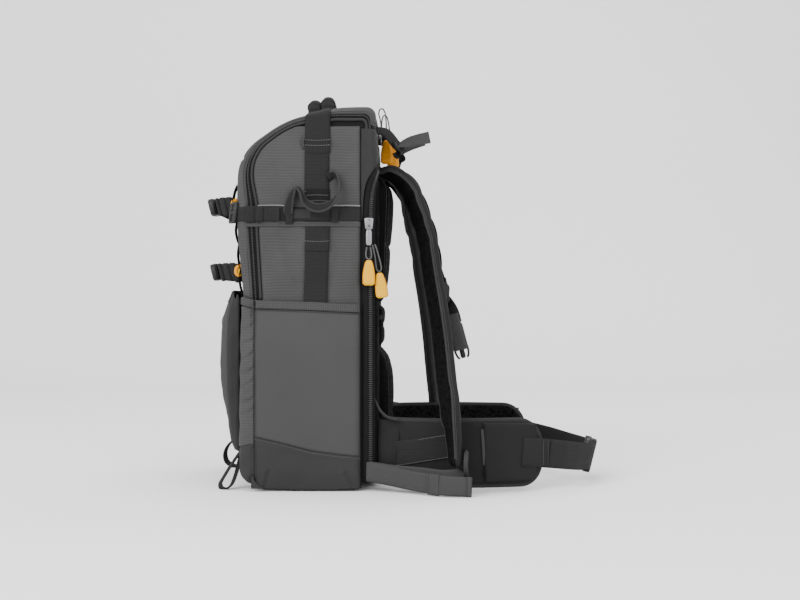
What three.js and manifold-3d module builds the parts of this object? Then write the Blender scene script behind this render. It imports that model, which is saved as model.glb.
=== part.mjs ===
// A camera backpack standing on its bottom, in millimetres, +Z up.
// The wearer's side faces +X, the front pocket -X, and the right side pocket -Y.
// X = 0, Y = 0, Z = 0 is the middle of the bottom.
import * as THREE from "three";
import { mergeVertices } from "three/addons/utils/BufferGeometryUtils.js";
import Module from "manifold-3d";

const wasm = await Module();
wasm.setup();

// Bag
const bodyHeight = 491;
const bodyDepth = 180;
const bodyWidth = 272;
const bodyFront = -0.545 * bodyDepth;
const padWall = 7; // padded wall of the bag
const cloth = 2.5; // pocket cloth with its lining
const gap = 0.3; // clearance between neighbouring pieces
const edgeRound = 22; // how far from each side the front, top and rear begin to round off
const roundOff = { front: 22, rear: 8, top: 20, bottom: 4 }; // what the rounding takes off at the sides
const zipWidth = 7;
const zipTape = 2.4;
const zipRecess = 0.6;

// Webbing
const webThick = 1.6;
const wideWeb = 32;
const midWeb = 25;
const beltWeb = 38;
const loopWeb = 10;

// Bands and straps on the sides
const bandHeight = 26;
const bandTop = 363;
const bandThick = 1.7;
const overStrapLead = 5; // the middle of the over strap, along X
const overStrapEnd = 427;
const underWebEnd = 391;
const cinchHeight = 19;
const cinchStart = 8; // from the bag's front
const cinchReach = 54; // length of the compression strap along the side
const cinchBuckle = { height: 27, width: 14, thick: 5, inset: 3, wrap: 7 };
const sideLoop = { left: -31, width: 64, foot: 355, height: 46, bulge: 13.7, thick: 3, across: 6 };

// Pockets
const sidePocketTop = 245;
const sidePocketBulge = 9;
const sidePocketFloor = 10;
const sidePocketSetback = 21.9; // from the bag's rear to the pocket's rear end
const sidePocketWrap = 21; // how far it wraps round the front corner, across the width
const frontPocketSlit = 0.4; // between the front pocket and each side pocket
const frontPocketHeight = 213;
const frontPocketFoot = 45;
const frontPocketDepth = 31;
const frontPocketMouth = 4; // from the bag's front back to the pocket's root
const frontPocketCorner = { side: 7, face: 24 }; // how far in from its sides the face rounds off

// Grab handles on top
const gripRound = 17;
const gripLength = 112;
const gripEndLength = 22;
const gripLift = 12;
const gripSpacing = 17.6;
const gripSeat = 0.6; // clearance over the strap that the handles lie on

// Accessory straps on the front
const daisyInset = 6; // from where the front rounds off in to the upright webbing
const daisyFoot = 250;
const daisyTop = 393;
const frontStraps = { upper: { height: 367, reach: 29 }, lower: { height: 281, reach: 31 } };
const frontStrapLean = 14; // degrees
const frontBuckle = { thick: 11, length: 40, height: 24, start: 0.78 };

// Tripod loops
const tripodRoot = 50;
const tripodReach = { right: 27, left: 52 };
const tripodSide = 5.6; // from the front pocket's side in to the loop's middle
const tripodInset = 3.1; // from the bag's front back to the loop's root

// Harness
const harnessReach = 108; // from the bag's rear to the outermost strap
const harnessHeight = 0.845 * bodyHeight;
const harnessSpread = 174;
const strapWidth = 66;
const strapThick = 16;
const strapTurn = 13; // degrees that a strap's face turns out of square
const strapLag = 9; // the left strap lies this much nearer to the bag
const lifter = { width: 22, tail: 20, reach: 67, drop: 29, height: 470, offset: 56.5 };
const chestClip = { height: 34, thick: 6, place: 0.612 };
const chestDrop = 40;
const chestBuckle = { length: 48, width: 20, thick: 8 };
const ladder = { width: 28, height: 34, thick: 7, reach: 13, bar: 3, slot: 14.3 };
const lowerWeb = { rise: 15.5, lift: 10, flare: 55, root: 12 };
const padThick = 19;
const padWidth = 150;
const padRound = 9;
const lumbarThick = 31;
const lumbarWidth = 184;

// Hip belt
const wingLength = 206;
const wingSpread = 138;
const wingHeight = 82;
const wingFloor = 8;
const wingThick = 14;
const beltReach = 286; // from the bag's rear to the closed buckle
const beltBuckle = { width: 54, height: 48, thick: 11, foot: 9 };
const beltLean = 14; // degrees

// Zip pulls
const pull = { width: 16, length: 32, thick: 5 };
const slider = { width: 12, length: 14, thick: 4.4 };
const sliderTab = { width: 8, thick: 2 };
const backTab = 22;
const lidTab = 8;
const cordRound = 2;

const bodyRear = bodyFront + bodyDepth;
const sidePocketRear = bodyRear - sidePocketSetback;
const halfWidth = bodyWidth / 2;
const frontPocketHalf = halfWidth - sidePocketWrap - frontPocketSlit;
const tripodOffset = frontPocketHalf - tripodSide;
const daisySpan = bodyWidth - 2 * (edgeRound + daisyInset) - midWeb; // between the middles of the two
const farOut = 2 * bodyHeight; // a cutter's reach past everything
const upAxis = point(0, 0, 1);
const acrossAxis = point(0, 1, 0);

function point(x, y, z) {
  return new THREE.Vector3(x, y, z);
}

function radians(degrees) {
  return (degrees * Math.PI) / 180;
}

// Places along the bag's depth and height as shares of its size
function alongBody(share) {
  return bodyFront + share * bodyDepth;
}

function upBody(share) {
  return share * bodyHeight;
}

// A closed mesh as a solid that can be cut and joined
function solid(geometry) {
  const bare = geometry.index ? geometry.toNonIndexed() : geometry.clone();
  for (const name of Object.keys(bare.attributes)) {
    if (name !== "position") bare.deleteAttribute(name);
  }
  const merged = mergeVertices(bare, 1e-4);
  const vertProperties = merged.attributes.position.array;
  const triVerts = new Uint32Array(merged.index.array);
  return new wasm.Manifold(new wasm.Mesh({ numProp: 3, vertProperties, triVerts }));
}

// A closed skin through rings of equally many points, with flat ends
function loft(rings) {
  const points = rings.flat();
  const around = rings[0].length;
  const last = points.length - around;
  const faces = [];
  for (let start = 0; start < last; start += around) {
    for (let i = 0; i < around; i++) {
      const a = start + i;
      const b = start + ((i + 1) % around);
      faces.push([a, b, b + around], [a, b + around, a + around]);
    }
  }
  for (let i = 1; i + 1 < around; i++) {
    faces.push([0, i + 1, i], [last, last + i, last + i + 1]);
  }
  const middle = points[0];
  let volume = 0;
  for (const [a, b, c] of faces) {
    const across = points[b].clone().sub(middle).cross(points[c].clone().sub(middle));
    volume += points[a].clone().sub(middle).dot(across);
  }
  const index = faces.flatMap(([a, b, c]) => (volume < 0 ? [a, c, b] : [a, b, c]));
  return solid(new THREE.BufferGeometry().setFromPoints(points).setIndex(index));
}

// A flat outline of [x, z] corners, drawn out across the bag from y0 to y1
function slab(outline, y0 = -farOut, y1 = farOut) {
  const shape = new THREE.Shape(outline.map(([x, z]) => new THREE.Vector2(x, z)));
  const geometry = new THREE.ExtrudeGeometry(shape, { depth: y1 - y0, bevelEnabled: false });
  geometry.rotateX(Math.PI / 2);
  geometry.translate(0, y1, 0);
  return solid(geometry);
}

function block(x0, x1, y0, y1, z0, z1) {
  const geometry = new THREE.BoxGeometry(x1 - x0, y1 - y0, z1 - z0);
  geometry.translate((x0 + x1) / 2, (y0 + y1) / 2, (z0 + z1) / 2);
  return solid(geometry);
}

// Rows from one end to the middle, continued to the other end; and the same for points
function mirrored(rows) {
  return [...rows, ...rows.slice(0, -1).reverse().map((row) => ({ ...row, y: -row.y }))];
}

function mirroredRing(points) {
  return [...points, ...points.slice(0, -1).reverse().map((p) => point(p.x, -p.y, p.z))];
}

// A section of given half sizes round a middle; corner cuts its corners
function section(middle, side, out, halfSide, halfOut, corner = 0) {
  const signs = [[1, 1], [-1, 1], [-1, -1], [1, -1]];
  const at = (s, o) => middle.clone().addScaledVector(side, s).addScaledVector(out, o);
  if (!corner) return signs.map(([s, o]) => at(s * halfSide, o * halfOut));
  return signs.flatMap(([s, o]) => {
    const onSide = at(s * halfSide, o * (halfOut - corner));
    const onOut = at(s * (halfSide - corner), o * halfOut);
    return s * o > 0 ? [onSide, onOut] : [onOut, onSide];
  });
}

// Webbing or padding along a line of points; sideways gives its width's direction at each
function strip(points, width, thick, sideways, corner = 0) {
  const rings = points.map((middle, i) => {
    const before = points[Math.max(i - 1, 0)];
    const after = points[Math.min(i + 1, points.length - 1)];
    const along = after.clone().sub(before).normalize();
    const side = (Array.isArray(sideways) ? sideways[i] : sideways).clone();
    side.addScaledVector(along, -side.dot(along)).normalize();
    const out = side.clone().cross(along);
    const across = Array.isArray(width) ? width[i] : width;
    const deep = Array.isArray(thick) ? thick[i] : thick;
    return section(middle, side, out, across / 2, deep / 2, corner);
  });
  return loft(rings);
}

// A smooth line through chosen points, cut into steps
function smooth(points, steps) {
  return new THREE.CatmullRomCurve3(points, false, "centripetal").getPoints(steps);
}

function tube(points, diameter, sides, steps) {
  const ring = [];
  for (let i = 0; i < sides; i++) {
    const turn = (2 * Math.PI * i) / sides;
    ring.push(new THREE.Vector2(Math.cos(turn), Math.sin(turn)).multiplyScalar(diameter / 2));
  }
  const extrudePath = new THREE.CatmullRomCurve3(points, false, "centripetal");
  return solid(new THREE.ExtrudeGeometry(new THREE.Shape(ring), { steps, extrudePath }));
}

// The bag's side outline: corners as shares of its depth and height, rounded by shares of its height
const bodyCorners = [
  { x: 0.022, z: 0, round: 0.07 },
  { x: 0.039, z: 0.509, round: 0.2 },
  { x: 0, z: 0.7, round: 0.2 },
  { x: 0, z: 0.855, round: 0.05 },
  { x: 0.128, z: 0.91, round: 0.08 },
  { x: 0.367, z: 0.967, round: 0.12 },
  { x: 0.711, z: 1, round: 0.16 },
  { x: 0.972, z: 1, round: 0.012 },
  { x: 1, z: 0.866, round: 0.08 },
  { x: 1, z: 0, round: 0.06 },
];

function roundedOutline(corners) {
  const stepTurn = radians(24);
  const flat = corners.map((c) => new THREE.Vector2(alongBody(c.x), upBody(c.z)));
  return corners.flatMap((corner, i) => {
    const here = flat[i];
    const back = flat.at(i - 1).clone().sub(here).normalize();
    const ahead = flat[(i + 1) % flat.length].clone().sub(here).normalize();
    const opening = Math.acos(back.dot(ahead));
    const radius = upBody(corner.round);
    const reach = radius / Math.tan(opening / 2);
    const centre = back.clone().add(ahead).normalize();
    centre.multiplyScalar(radius / Math.sin(opening / 2)).add(here);
    const from = here.clone().addScaledVector(back, reach).sub(centre);
    const to = here.clone().addScaledVector(ahead, reach).sub(centre);
    const turn = Math.atan2(from.cross(to), from.dot(to));
    const steps = Math.max(1, Math.ceil(Math.abs(turn) / stepTurn));
    const arc = [];
    for (let k = 0; k <= steps; k++) {
      arc.push(from.clone().rotateAround(new THREE.Vector2(), (turn * k) / steps).add(centre));
    }
    return arc;
  });
}

const bodyOutline = roundedOutline(bodyCorners);

// The bag's whole form, grown outwards or, below 0, shrunk inwards
function bagForm(grow) {
  const midX = alongBody(0.5);
  const midZ = upBody(0.5);
  const roundSteps = 3;
  const stretch = (value, middle, half, low, high) =>
    middle + ((value - middle) * (half + (value < middle ? low : high))) / half;
  const rings = [];
  for (const side of [-1, 1]) {
    for (let k = 0; k <= roundSteps; k++) {
      const turn = ((side < 0 ? roundSteps - k : k) * Math.PI) / 2 / roundSteps;
      const taken = 1 - Math.cos(turn);
      const y = side * (halfWidth + grow - edgeRound * (1 - Math.sin(turn)));
      const off = (edge) => grow - roundOff[edge] * taken;
      rings.push(
        bodyOutline.map((p) => {
          const x = stretch(p.x, midX, bodyDepth / 2, off("front"), off("rear"));
          const z = stretch(p.y, midZ, bodyHeight / 2, off("bottom"), off("top"));
          return point(x, y, z);
        }),
      );
    }
  }
  return loft(rings);
}

const bagSkin = bagForm(gap);

// Where the bag's form, grown by some distance, is met from above, from the front and from the rear
function probe(grow) {
  const form = new THREE.Mesh(geometryOf(bagForm(grow)), new THREE.MeshBasicMaterial());
  const meet = (from, way) => new THREE.Raycaster(from, way).intersectObject(form)[0].point;
  return {
    top: (x) => meet(point(x, 0, farOut), point(0, 0, -1)).z,
    front: (z) => meet(point(-farOut, 0, z), point(1, 0, 0)).x,
    rear: (z) => meet(point(farOut, 0, z), point(-1, 0, 0)).x,
  };
}

const bagAt = probe(gap);
const webbedAt = probe(gap + webThick);

// A layer laid on the bag, from one height above its surface to another
function layer(low, high) {
  return bagForm(high).subtract(low > gap ? bagForm(low) : bagSkin);
}

// The two zips as lines of [x, z]: the lid's up the front, the back door's up the rear
const lidFoot = 0.495;
const lidZipLine = [
  { x: 0.139, z: lidFoot },
  { x: 0.139, z: 0.82 },
  { x: 0.18, z: 0.879 },
  { x: 0.25, z: 0.917 },
  { x: 0.378, z: 0.943 },
  { x: 0.483, z: 0.953 },
  { x: 1.2, z: 0.953 },
];
const doorFoot = 0.042;
const doorZipLine = [
  { x: 0.933, z: doorFoot },
  { x: 0.933, z: 0.72 },
  { x: 0.95, z: 0.768 },
  { x: 0.99, z: 0.808 },
  { x: 1.2, z: 0.824 },
];

function offsetLine(rows, distance) {
  const line = rows.map((row) => new THREE.Vector2(alongBody(row.x), upBody(row.z)));
  return line.map((here, i) => {
    const before = line[Math.max(i - 1, 0)];
    const after = line[Math.min(i + 1, line.length - 1)];
    const along = after.clone().sub(before).normalize();
    return [here.x - along.y * distance, here.y + along.x * distance];
  });
}

function zipRegion(rows) {
  const edge = zipWidth / 2;
  return slab([...offsetLine(rows, edge), ...offsetLine(rows, -edge).reverse()]);
}

// All that lies outside the lid's zip line, down to its foot
function lidRegion(distance, drop) {
  const line = offsetLine(lidZipLine, distance);
  const foot = upBody(lidFoot) - drop;
  return slab([
    [line[0][0], foot],
    ...line,
    [line.at(-1)[0], farOut],
    [-farOut, farOut],
    [-farOut, foot],
  ]);
}

// All that lies behind the back door's zip line, down to its foot
function doorRegion(distance, drop) {
  const line = offsetLine(doorZipLine, distance);
  const foot = upBody(doorFoot) - drop;
  return slab([[line[0][0], foot], ...line, [farOut, line.at(-1)[1]], [farOut, foot]]);
}

function bagWalls() {
  const walls = bagForm(0).subtract(bagForm(-padWall));
  const edge = zipWidth / 2 + gap;
  const tape = bagForm(-zipRecess).subtract(bagForm(-zipRecess - zipTape));
  return {
    body: walls.subtract(lidRegion(-edge, gap)).subtract(doorRegion(edge, gap)),
    lid: walls.intersect(lidRegion(edge, 0)),
    lidZip: tape.intersect(zipRegion(lidZipLine)),
    door: walls.intersect(doorRegion(-edge, 0)),
    doorZip: tape.intersect(zipRegion(doorZipLine)),
  };
}

// Layers on the right side; the left ones are their mirror images
function sideBand() {
  const rear = sidePocketRear;
  const front = bodyFront + roundOff.front / 4;
  const region = block(front, rear, -farOut, -halfWidth + edgeRound - gap, bandTop - bandHeight, bandTop);
  return layer(gap, bandThick + gap).intersect(region);
}

function sideWebbing() {
  const half = wideWeb / 2;
  const top = bandTop - bandHeight - gap;
  const region = block(
    overStrapLead - half, overStrapLead + half, -farOut, 0, sidePocketTop + gap, top);
  return layer(gap, webThick + gap).intersect(region);
}

function overStrap() {
  const x0 = overStrapLead - wideWeb / 2;
  const x1 = overStrapLead + wideWeb / 2;
  const doubled = layer(gap, 1.5 * webThick + gap);
  const single = layer(gap, webThick + gap);
  const over = block(x0, x1, -farOut, farOut, overStrapEnd, farOut);
  const under = block(x0, x1, -farOut, farOut, underWebEnd, overStrapEnd + 1);
  return doubled.intersect(over).add(single.intersect(under));
}

function sidePocket() {
  const front = bodyFront + 1;
  const inner = -halfWidth + sidePocketWrap;
  const outside = layer(gap, sidePocketBulge);
  const whole = block(front, sidePocketRear, -farOut, inner, 1, sidePocketTop);
  const hollow = block(
    front + 2 * cloth, sidePocketRear - cloth, -farOut, inner - 2 * cloth, sidePocketFloor, farOut);
  return outside.intersect(whole).subtract(bagForm(sidePocketBulge - cloth).intersect(hollow));
}

function sideCinch() {
  const low = bandThick + 2 * gap;
  const front = bodyFront + cinchStart;
  const region = block(
    front, front + cinchReach, -farOut, -halfWidth + edgeRound - gap,
    bandTop - cinchHeight, bandTop + gap);
  return layer(low, low + webThick).intersect(region);
}

function sideBuckle() {
  const low = gap;
  const inner = halfWidth - edgeRound;
  const z = bandTop - cinchHeight / 2;
  const region = block(
    -farOut, bodyFront + edgeRound / 2,
    -inner - cinchBuckle.width / 2, -inner + cinchBuckle.inset,
    z - cinchBuckle.height / 2, z + cinchBuckle.height / 2);
  const strapRoom = block(bodyFront + cinchBuckle.wrap, farOut, -farOut, -inner - gap, 0, farOut);
  return layer(low, low + cinchBuckle.thick).intersect(region).subtract(strapRoom);
}

// The bellows pocket: heights as shares of its height, depth and width as shares of its own
const frontPocketRows = [
  { z: 0, depth: 0.18, width: 0.86 },
  { z: 0.05, depth: 0.42, width: 0.94 },
  { z: 0.14, depth: 0.58, width: 1 },
  { z: 0.24, depth: 0.68, width: 1 },
  { z: 0.38, depth: 0.88, width: 1 },
  { z: 0.54, depth: 1, width: 1 },
  { z: 0.7, depth: 0.98, width: 1 },
  { z: 0.83, depth: 0.86, width: 1 },
  { z: 0.94, depth: 0.6, width: 0.99 },
  { z: 1, depth: 0.46, width: 0.98 },
];

function pocketStack(shrink, lift) {
  const back = bodyFront + edgeRound;
  const mouth = bodyFront + frontPocketMouth;
  return loft(
    frontPocketRows.map((row, i) => {
      const last = i === frontPocketRows.length - 1;
      const z = frontPocketFoot + row.z * frontPocketHeight + (last ? lift : 0) + (i ? 0 : shrink);
      const half = row.width * frontPocketHalf - shrink;
      const face = mouth - row.depth * frontPocketDepth + shrink;
      const deep = mouth - face;
      const ring = [point(back, half, z), point(mouth - 0.45 * deep, half, z)];
      ring.push(point(mouth - 0.85 * deep, half - frontPocketCorner.side, z));
      ring.push(point(face, half - frontPocketCorner.face, z), point(face, 0, z));
      return mirroredRing(ring);
    }),
  );
}

function frontPocket() {
  return pocketStack(0, 0).subtract(pocketStack(cloth, cloth)).subtract(bagSkin);
}

// Top handles: two padded rolls whose flat ends are sewn to the lid beside the over strap
function topGrip(x) {
  const reach = gripRound * 0.42;
  const slope = (bagAt.top(x + reach) - bagAt.top(x - reach)) / (2 * reach);
  const side = point(1, 0, slope).normalize();
  const out = point(-side.z, 0, side.x);
  const top = bagAt.top(x) + 1.5 * webThick + gripSeat;
  const half = gripLength / 2;
  const lineRows = [
    { y: 1 + gripEndLength / half, z: 0, round: 0 },
    { y: 1.06, z: 0.03, round: 0 },
    { y: 1, z: 0.17, round: 0.9 },
    { y: 0.5, z: 0.75, round: 1 },
    { y: 0, z: 1, round: 1 },
  ];
  const whole = mirrored(lineRows);
  const flat = 2 * webThick;
  return loft(
    whole.map((row) => {
      const size = row.round ? (gripRound * row.round) / 2 : reach;
      const deep = row.round ? size : flat / 2;
      const middle = point(x, row.y * half, top + row.z * gripLift + deep);
      const corner = 0.5 * deep;
      return section(middle, side, out, size, deep, corner);
    }),
  );
}

// The loop handle beside the over strap, as shares of its width and height, standing off by bulge
const sideLoopRows = [
  { x: 0.9, z: 1, out: 0 },
  { x: 1, z: 0.75, out: 0.6 },
  { x: 0.97, z: 0.45, out: 0.9 },
  { x: 0.85, z: 0.2, out: 1 },
  { x: 0.65, z: 0.06, out: 1 },
  { x: 0.43, z: 0.12, out: 0.9 },
  { x: 0.28, z: 0.4, out: 0.8 },
  { x: 0.18, z: 0.62, out: 0.7 },
  { x: 0.08, z: 0.4, out: 0.5 },
  { x: 0.03, z: 0.1, out: 0.17 },
];

function sideLoopHandle() {
  const rest = halfWidth + gap + sideLoop.across / 2;
  const points = sideLoopRows.map((row) =>
    point(
      sideLoop.left + row.x * sideLoop.width,
      -(rest + row.out * sideLoop.bulge),
      sideLoop.foot + row.z * sideLoop.height,
    ),
  );
  return strip(smooth(points, 22), sideLoop.across, sideLoop.thick, acrossAxis);
}

// Webbing on the lid's front
function frontDaisy() {
  const outer = daisySpan / 2;
  const region = block(
    -farOut, bodyFront + roundOff.front, -outer - midWeb / 2, -outer + midWeb / 2,
    daisyFoot, daisyTop);
  return layer(gap, webThick + gap).intersect(region);
}

// An accessory strap across the front: its ends lie on the upright webbings and its middle leans
const frontStrapRows = [
  { y: 0.98, out: 0, lean: 0 },
  { y: 0.91, out: 0, lean: 0 },
  { y: 0.86, out: 0.2, lean: 0.4 },
  { y: 0.78, out: 0.56, lean: 1 },
  { y: 0.64, out: 0.86, lean: 1 },
  { y: 0.42, out: 1, lean: 1 },
  { y: 0, out: 1, lean: 1 },
];

function frontStrapBase(strap) {
  const half = frontBuckle.height / 2;
  const [low, high] = [-half, half].map((drop) => webbedAt.front(strap.height + drop));
  const slope = (high - low) / frontBuckle.height;
  return { x: (low + high) / 2 - gap - webThick / 2, slope };
}

function frontStrap(strap) {
  const base = frontStrapBase(strap);
  const half = daisySpan / 2;
  const full = Math.tan(radians(frontStrapLean)) - base.slope;
  const rows = mirrored(frontStrapRows);
  return strip(
    rows.map((row) => point(base.x - row.out * strap.reach, row.y * half, strap.height)),
    frontBuckle.height,
    webThick,
    rows.map((row) => point(base.slope + row.lean * full, 0, 1)),
  );
}

function frontBuckleBox(strap) {
  const turn = radians(frontStrapLean);
  const lean = point(Math.sin(turn), 0, Math.cos(turn));
  const out = point(lean.z, 0, -lean.x);
  const half = daisySpan / 2;
  const face = frontStrapBase(strap).x - strap.reach - webThick / 2 - 2 * gap;
  const middle = face - frontBuckle.thick / 2;
  const shares = [
    { y: 0, size: 0.7 },
    { y: 0.08, size: 1 },
    { y: 0.92, size: 1 },
    { y: 1, size: 0.7 },
  ];
  const start = -frontBuckle.start * half;
  return loft(
    shares.map((row) =>
      section(
        point(middle, start + row.y * frontBuckle.length, strap.height), lean, out,
        (row.size * frontBuckle.height) / 2, (row.size * frontBuckle.thick) / 2,
        0.2 * frontBuckle.thick),
    ),
  );
}

// A tripod loop hangs from the front bottom corner and its lower bend lies on the floor
const tripodRows = [
  { x: 0.02, z: 1 },
  { x: 0.35, z: 0.72 },
  { x: 0.75, z: 0.36 },
  { x: 1, z: 0.1 },
  { x: 0.86, z: 0 },
  { x: 0.58, z: 0.04 },
  { x: 0.3, z: 0.3 },
  { x: 0.12, z: 0.62 },
];

function tripodLoop(reach) {
  const floor = 1.5 * webThick;
  const base = bodyFront + tripodInset;
  const points = tripodRows.map((row) =>
    point(base - row.x * reach, -tripodOffset, floor + row.z * (tripodRoot - floor)),
  );
  return strip(smooth(points, 18), loopWeb, 1.3 * webThick, acrossAxis).subtract(bagSkin);
}

// A shoulder strap's middle line: x as shares of the harness reach, z of its height, y of its spread
const strapRows = [
  { x: -0.03, z: 0.995, y: 0.3, width: 0.94, thick: 0.9 },
  { x: 0.09, z: 0.995, y: 0.31, width: 0.94, thick: 0.9 },
  { x: 0.2, z: 0.985, y: 0.33, width: 1, thick: 1 },
  { x: 0.365, z: 0.942, y: 0.38, width: 1, thick: 1 },
  { x: 0.485, z: 0.87, y: 0.45, width: 1, thick: 1 },
  { x: 0.585, z: 0.783, y: 0.51, width: 1, thick: 1 },
  { x: 0.65, z: 0.675, y: 0.575, width: 1, thick: 1 },
  { x: 0.715, z: 0.569, y: 0.635, width: 1, thick: 1 },
  { x: 0.765, z: 0.47, y: 0.695, width: 1, thick: 1 },
  { x: 0.8, z: 0.374, y: 0.765, width: 0.97, thick: 1 },
  { x: 0.835, z: 0.29, y: 0.86, width: 0.88, thick: 1 },
  { x: 0.865, z: 0.222, y: 0.985, width: 0.72, thick: 0.95 },
  { x: 0.885, z: 0.15, y: 0.99, width: 0.58, thick: 0.8 },
  { x: 0.895, z: 0.096, y: 1, width: 0.46, thick: 0.6 },
];

// Where the strap's line and faces lie at one of its rows; lag moves the lower rows to the bag
function strapPlace(row, lag) {
  const x = bodyRear + row.x * harnessReach - lag * Math.min(1, (1 - row.z) * 6);
  return point(x, -row.y * harnessSpread, row.z * harnessHeight);
}

function strapSide() {
  return point(-Math.sin(radians(strapTurn)), Math.cos(radians(strapTurn)), 0);
}

function shoulderStrap(lag) {
  const rows = strapRows;
  const pad = strip(
    rows.map((row) => strapPlace(row, lag)),
    rows.map((row) => row.width * strapWidth),
    rows.map((row) => row.thick * strapThick),
    strapSide(),
    0.3 * strapThick,
  );
  const from = strapPlace(rows.at(-1), lag).add(point(0, 0, ladder.bar));
  const tongue = from.clone().setX(ladderMiddle(lag).x - ladder.thick / 2 - gap);
  return pad.add(strip([from, tongue], 0.8 * midWeb, webThick, acrossAxis)).subtract(bagSkin);
}

// The webbing from the bag's top to the strap, with the tail that stands out behind its buckle
const lifterRows = [
  { x: -0.12, y: 0, z: -0.02 },
  { x: 0.14, y: 0, z: 0.1 },
  { x: 0.32, y: 0.03, z: 0.59 },
  { x: 0.455, y: 0.045, z: 1 },
];
const lifterTailRows = [
  { x: 0.38, y: 0.04, z: 0.72 },
  { x: 0.59, y: 0.045, z: 0.52 },
  { x: 0.79, y: 0.06, z: 0.38 },
  { x: 1, y: 0.075, z: 0.28 },
];

function loadLifter() {
  const place = (row) =>
    point(
      bodyRear + row.x * lifter.reach,
      -lifter.offset - row.y * lifter.reach,
      lifter.height - row.z * lifter.drop,
    );
  const lean = point(0.1, 0.75, 0.65);
  const line = strip(lifterRows.map(place), lifter.width, 2 * webThick, acrossAxis);
  const twist = [acrossAxis, lean, lean, lean];
  const tail = strip(lifterTailRows.map(place), lifter.tail, 1.2 * webThick, twist);
  return line.add(tail).subtract(bagSkin);
}

// The chest strap: a slider on the shoulder strap and the webbing that hangs from it
function chestRoot(lag) {
  const below = strapRows.findIndex((row) => row.z < chestClip.place);
  const [high, low] = [strapRows[below - 1], strapRows[below]];
  const share = (high.z - chestClip.place) / (high.z - low.z);
  const [from, to] = [strapPlace(high, lag), strapPlace(low, lag)];
  const along = to.clone().sub(from).normalize();
  const side = strapSide().addScaledVector(along, -strapSide().dot(along)).normalize();
  const out = along.clone().cross(side).normalize();
  const rise = (strapThick + chestClip.thick) / 2 + 2 * gap;
  const middle = from.lerp(to, share).addScaledVector(out, rise);
  return { middle, along, side };
}

// The line that the chest webbing hangs in, as shares of its drop
const chestRows = [point(0, 0, 0), point(0.175, -0.025, -0.5), point(0.325, -0.075, -1)];

function chestStrap(lag) {
  const { middle, along, side } = chestRoot(lag);
  const ends = [-0.5, 0.5].map((s) => middle.clone().addScaledVector(along, s * chestClip.height));
  const clip = strip(ends, midWeb, chestClip.thick, side, 0.25 * chestClip.thick);
  const line = chestRows.map((row) => middle.clone().addScaledVector(row, chestDrop));
  return clip.add(strip(smooth(line, 4), 0.8 * midWeb, 1.4 * webThick, side));
}

function chestBuckleHalf(lag) {
  const { middle, side } = chestRoot(lag);
  const hang = point(0.27, 0, -1).normalize();
  const end = middle.clone().addScaledVector(chestRows.at(-1), chestDrop);
  const start = end.addScaledVector(hang, 3 * gap);
  const rows = [
    { down: 0, width: 0.8, thick: 0.7 },
    { down: 0.12, width: 1, thick: 1 },
    { down: 0.6, width: 1, thick: 1 },
    { down: 1, width: 0.75, thick: 0.6 },
  ];
  return strip(
    rows.map((row) => start.clone().addScaledVector(hang, row.down * chestBuckle.length)),
    rows.map((row) => row.width * chestBuckle.width),
    rows.map((row) => row.thick * chestBuckle.thick),
    side,
    0.2 * chestBuckle.thick,
  );
}

// The buckle under a shoulder strap's tip, and the webbing from the bag's bottom corner to it
function ladderMiddle(lag) {
  const tip = strapPlace(strapRows.at(-1), lag);
  return point(tip.x + ladder.reach, tip.y, tip.z);
}

function ladderLock(lag) {
  const middle = ladderMiddle(lag);
  const half = ladder.height / 2;
  const ends = [-1, 1].map((s) => middle.clone().addScaledVector(upAxis, s * half));
  const frame = strip(ends, ladder.width, ladder.thick, acrossAxis, 0.2 * ladder.thick);
  const through = [-1, 1].map((s) => middle.clone().add(point(s * ladder.thick, 0, 0)));
  const slot = strip(through, ladder.width - 2 * ladder.bar, ladder.slot, acrossAxis);
  return frame.subtract(slot);
}

// From the ladder buckle to the bag's corner, folded there, and out again as a free tail:
// x as shares of the way out to the buckle, y of the tail's flare, z of the fold's lift
const lowerWebRows = [
  { x: 0.8, y: 0.62, z: 0.4, lean: 0.1 },
  { x: 0.55, y: 0.31, z: 0.5, lean: 0.1 },
  { x: 0.25, y: 0.13, z: 0.7, lean: 0 },
  { x: 0.03, y: 0, z: 1, lean: 0 },
  { x: -0.02, y: 0.04, z: 1, lean: 0 },
  { x: 0.03, y: 0.09, z: 0.95, lean: 0 },
  { x: 0.25, y: 0.24, z: 0.5, lean: 0 },
  { x: 0.5, y: 0.54, z: 0.1, lean: 0 },
  { x: 0.8, y: 0.93, z: -0.15, lean: 0 },
  { x: 1.06, y: 1, z: -0.25, lean: 0 },
];

function lowerWebbing(lag) {
  const lock = ladderMiddle(lag);
  const start = bodyRear - lowerWeb.root;
  const run = lock.x - start;
  const side = halfWidth + gap + webThick / 2;
  const line = lowerWebRows.map((row) =>
    point(
      start + row.x * run,
      -side - row.y * lowerWeb.flare,
      lowerWeb.rise + row.z * lowerWeb.lift,
    ),
  );
  const end = point(lock.x - ladder.thick / 2 - gap, lock.y, lowerWeb.rise + 0.7 * lowerWeb.lift);
  const leans = lowerWebRows.map((row) => point(row.lean, 0, 1));
  return strip([end, ...line], midWeb, webThick, [upAxis, ...leans]).subtract(bagSkin);
}

// A pad on the back door: its rows give the depth and width at shares of its height
function backPad(place, thick, width, rows) {
  const base = bodyRear + gap;
  const foot = upBody(place.foot);
  const height = upBody(place.height);
  return loft(
    rows.map((row) => {
      const deep = row.depth * thick;
      const half = (row.width * width) / 2;
      const corner = Math.min(padRound, 0.6 * deep);
      const z = foot + row.z * height;
      const ring = [point(base, half, z), point(base + deep - corner, half, z)];
      ring.push(point(base + deep, half - 2 * corner, z), point(base + deep * 0.9, 0, z));
      return mirroredRing(ring);
    }),
  );
}

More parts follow.
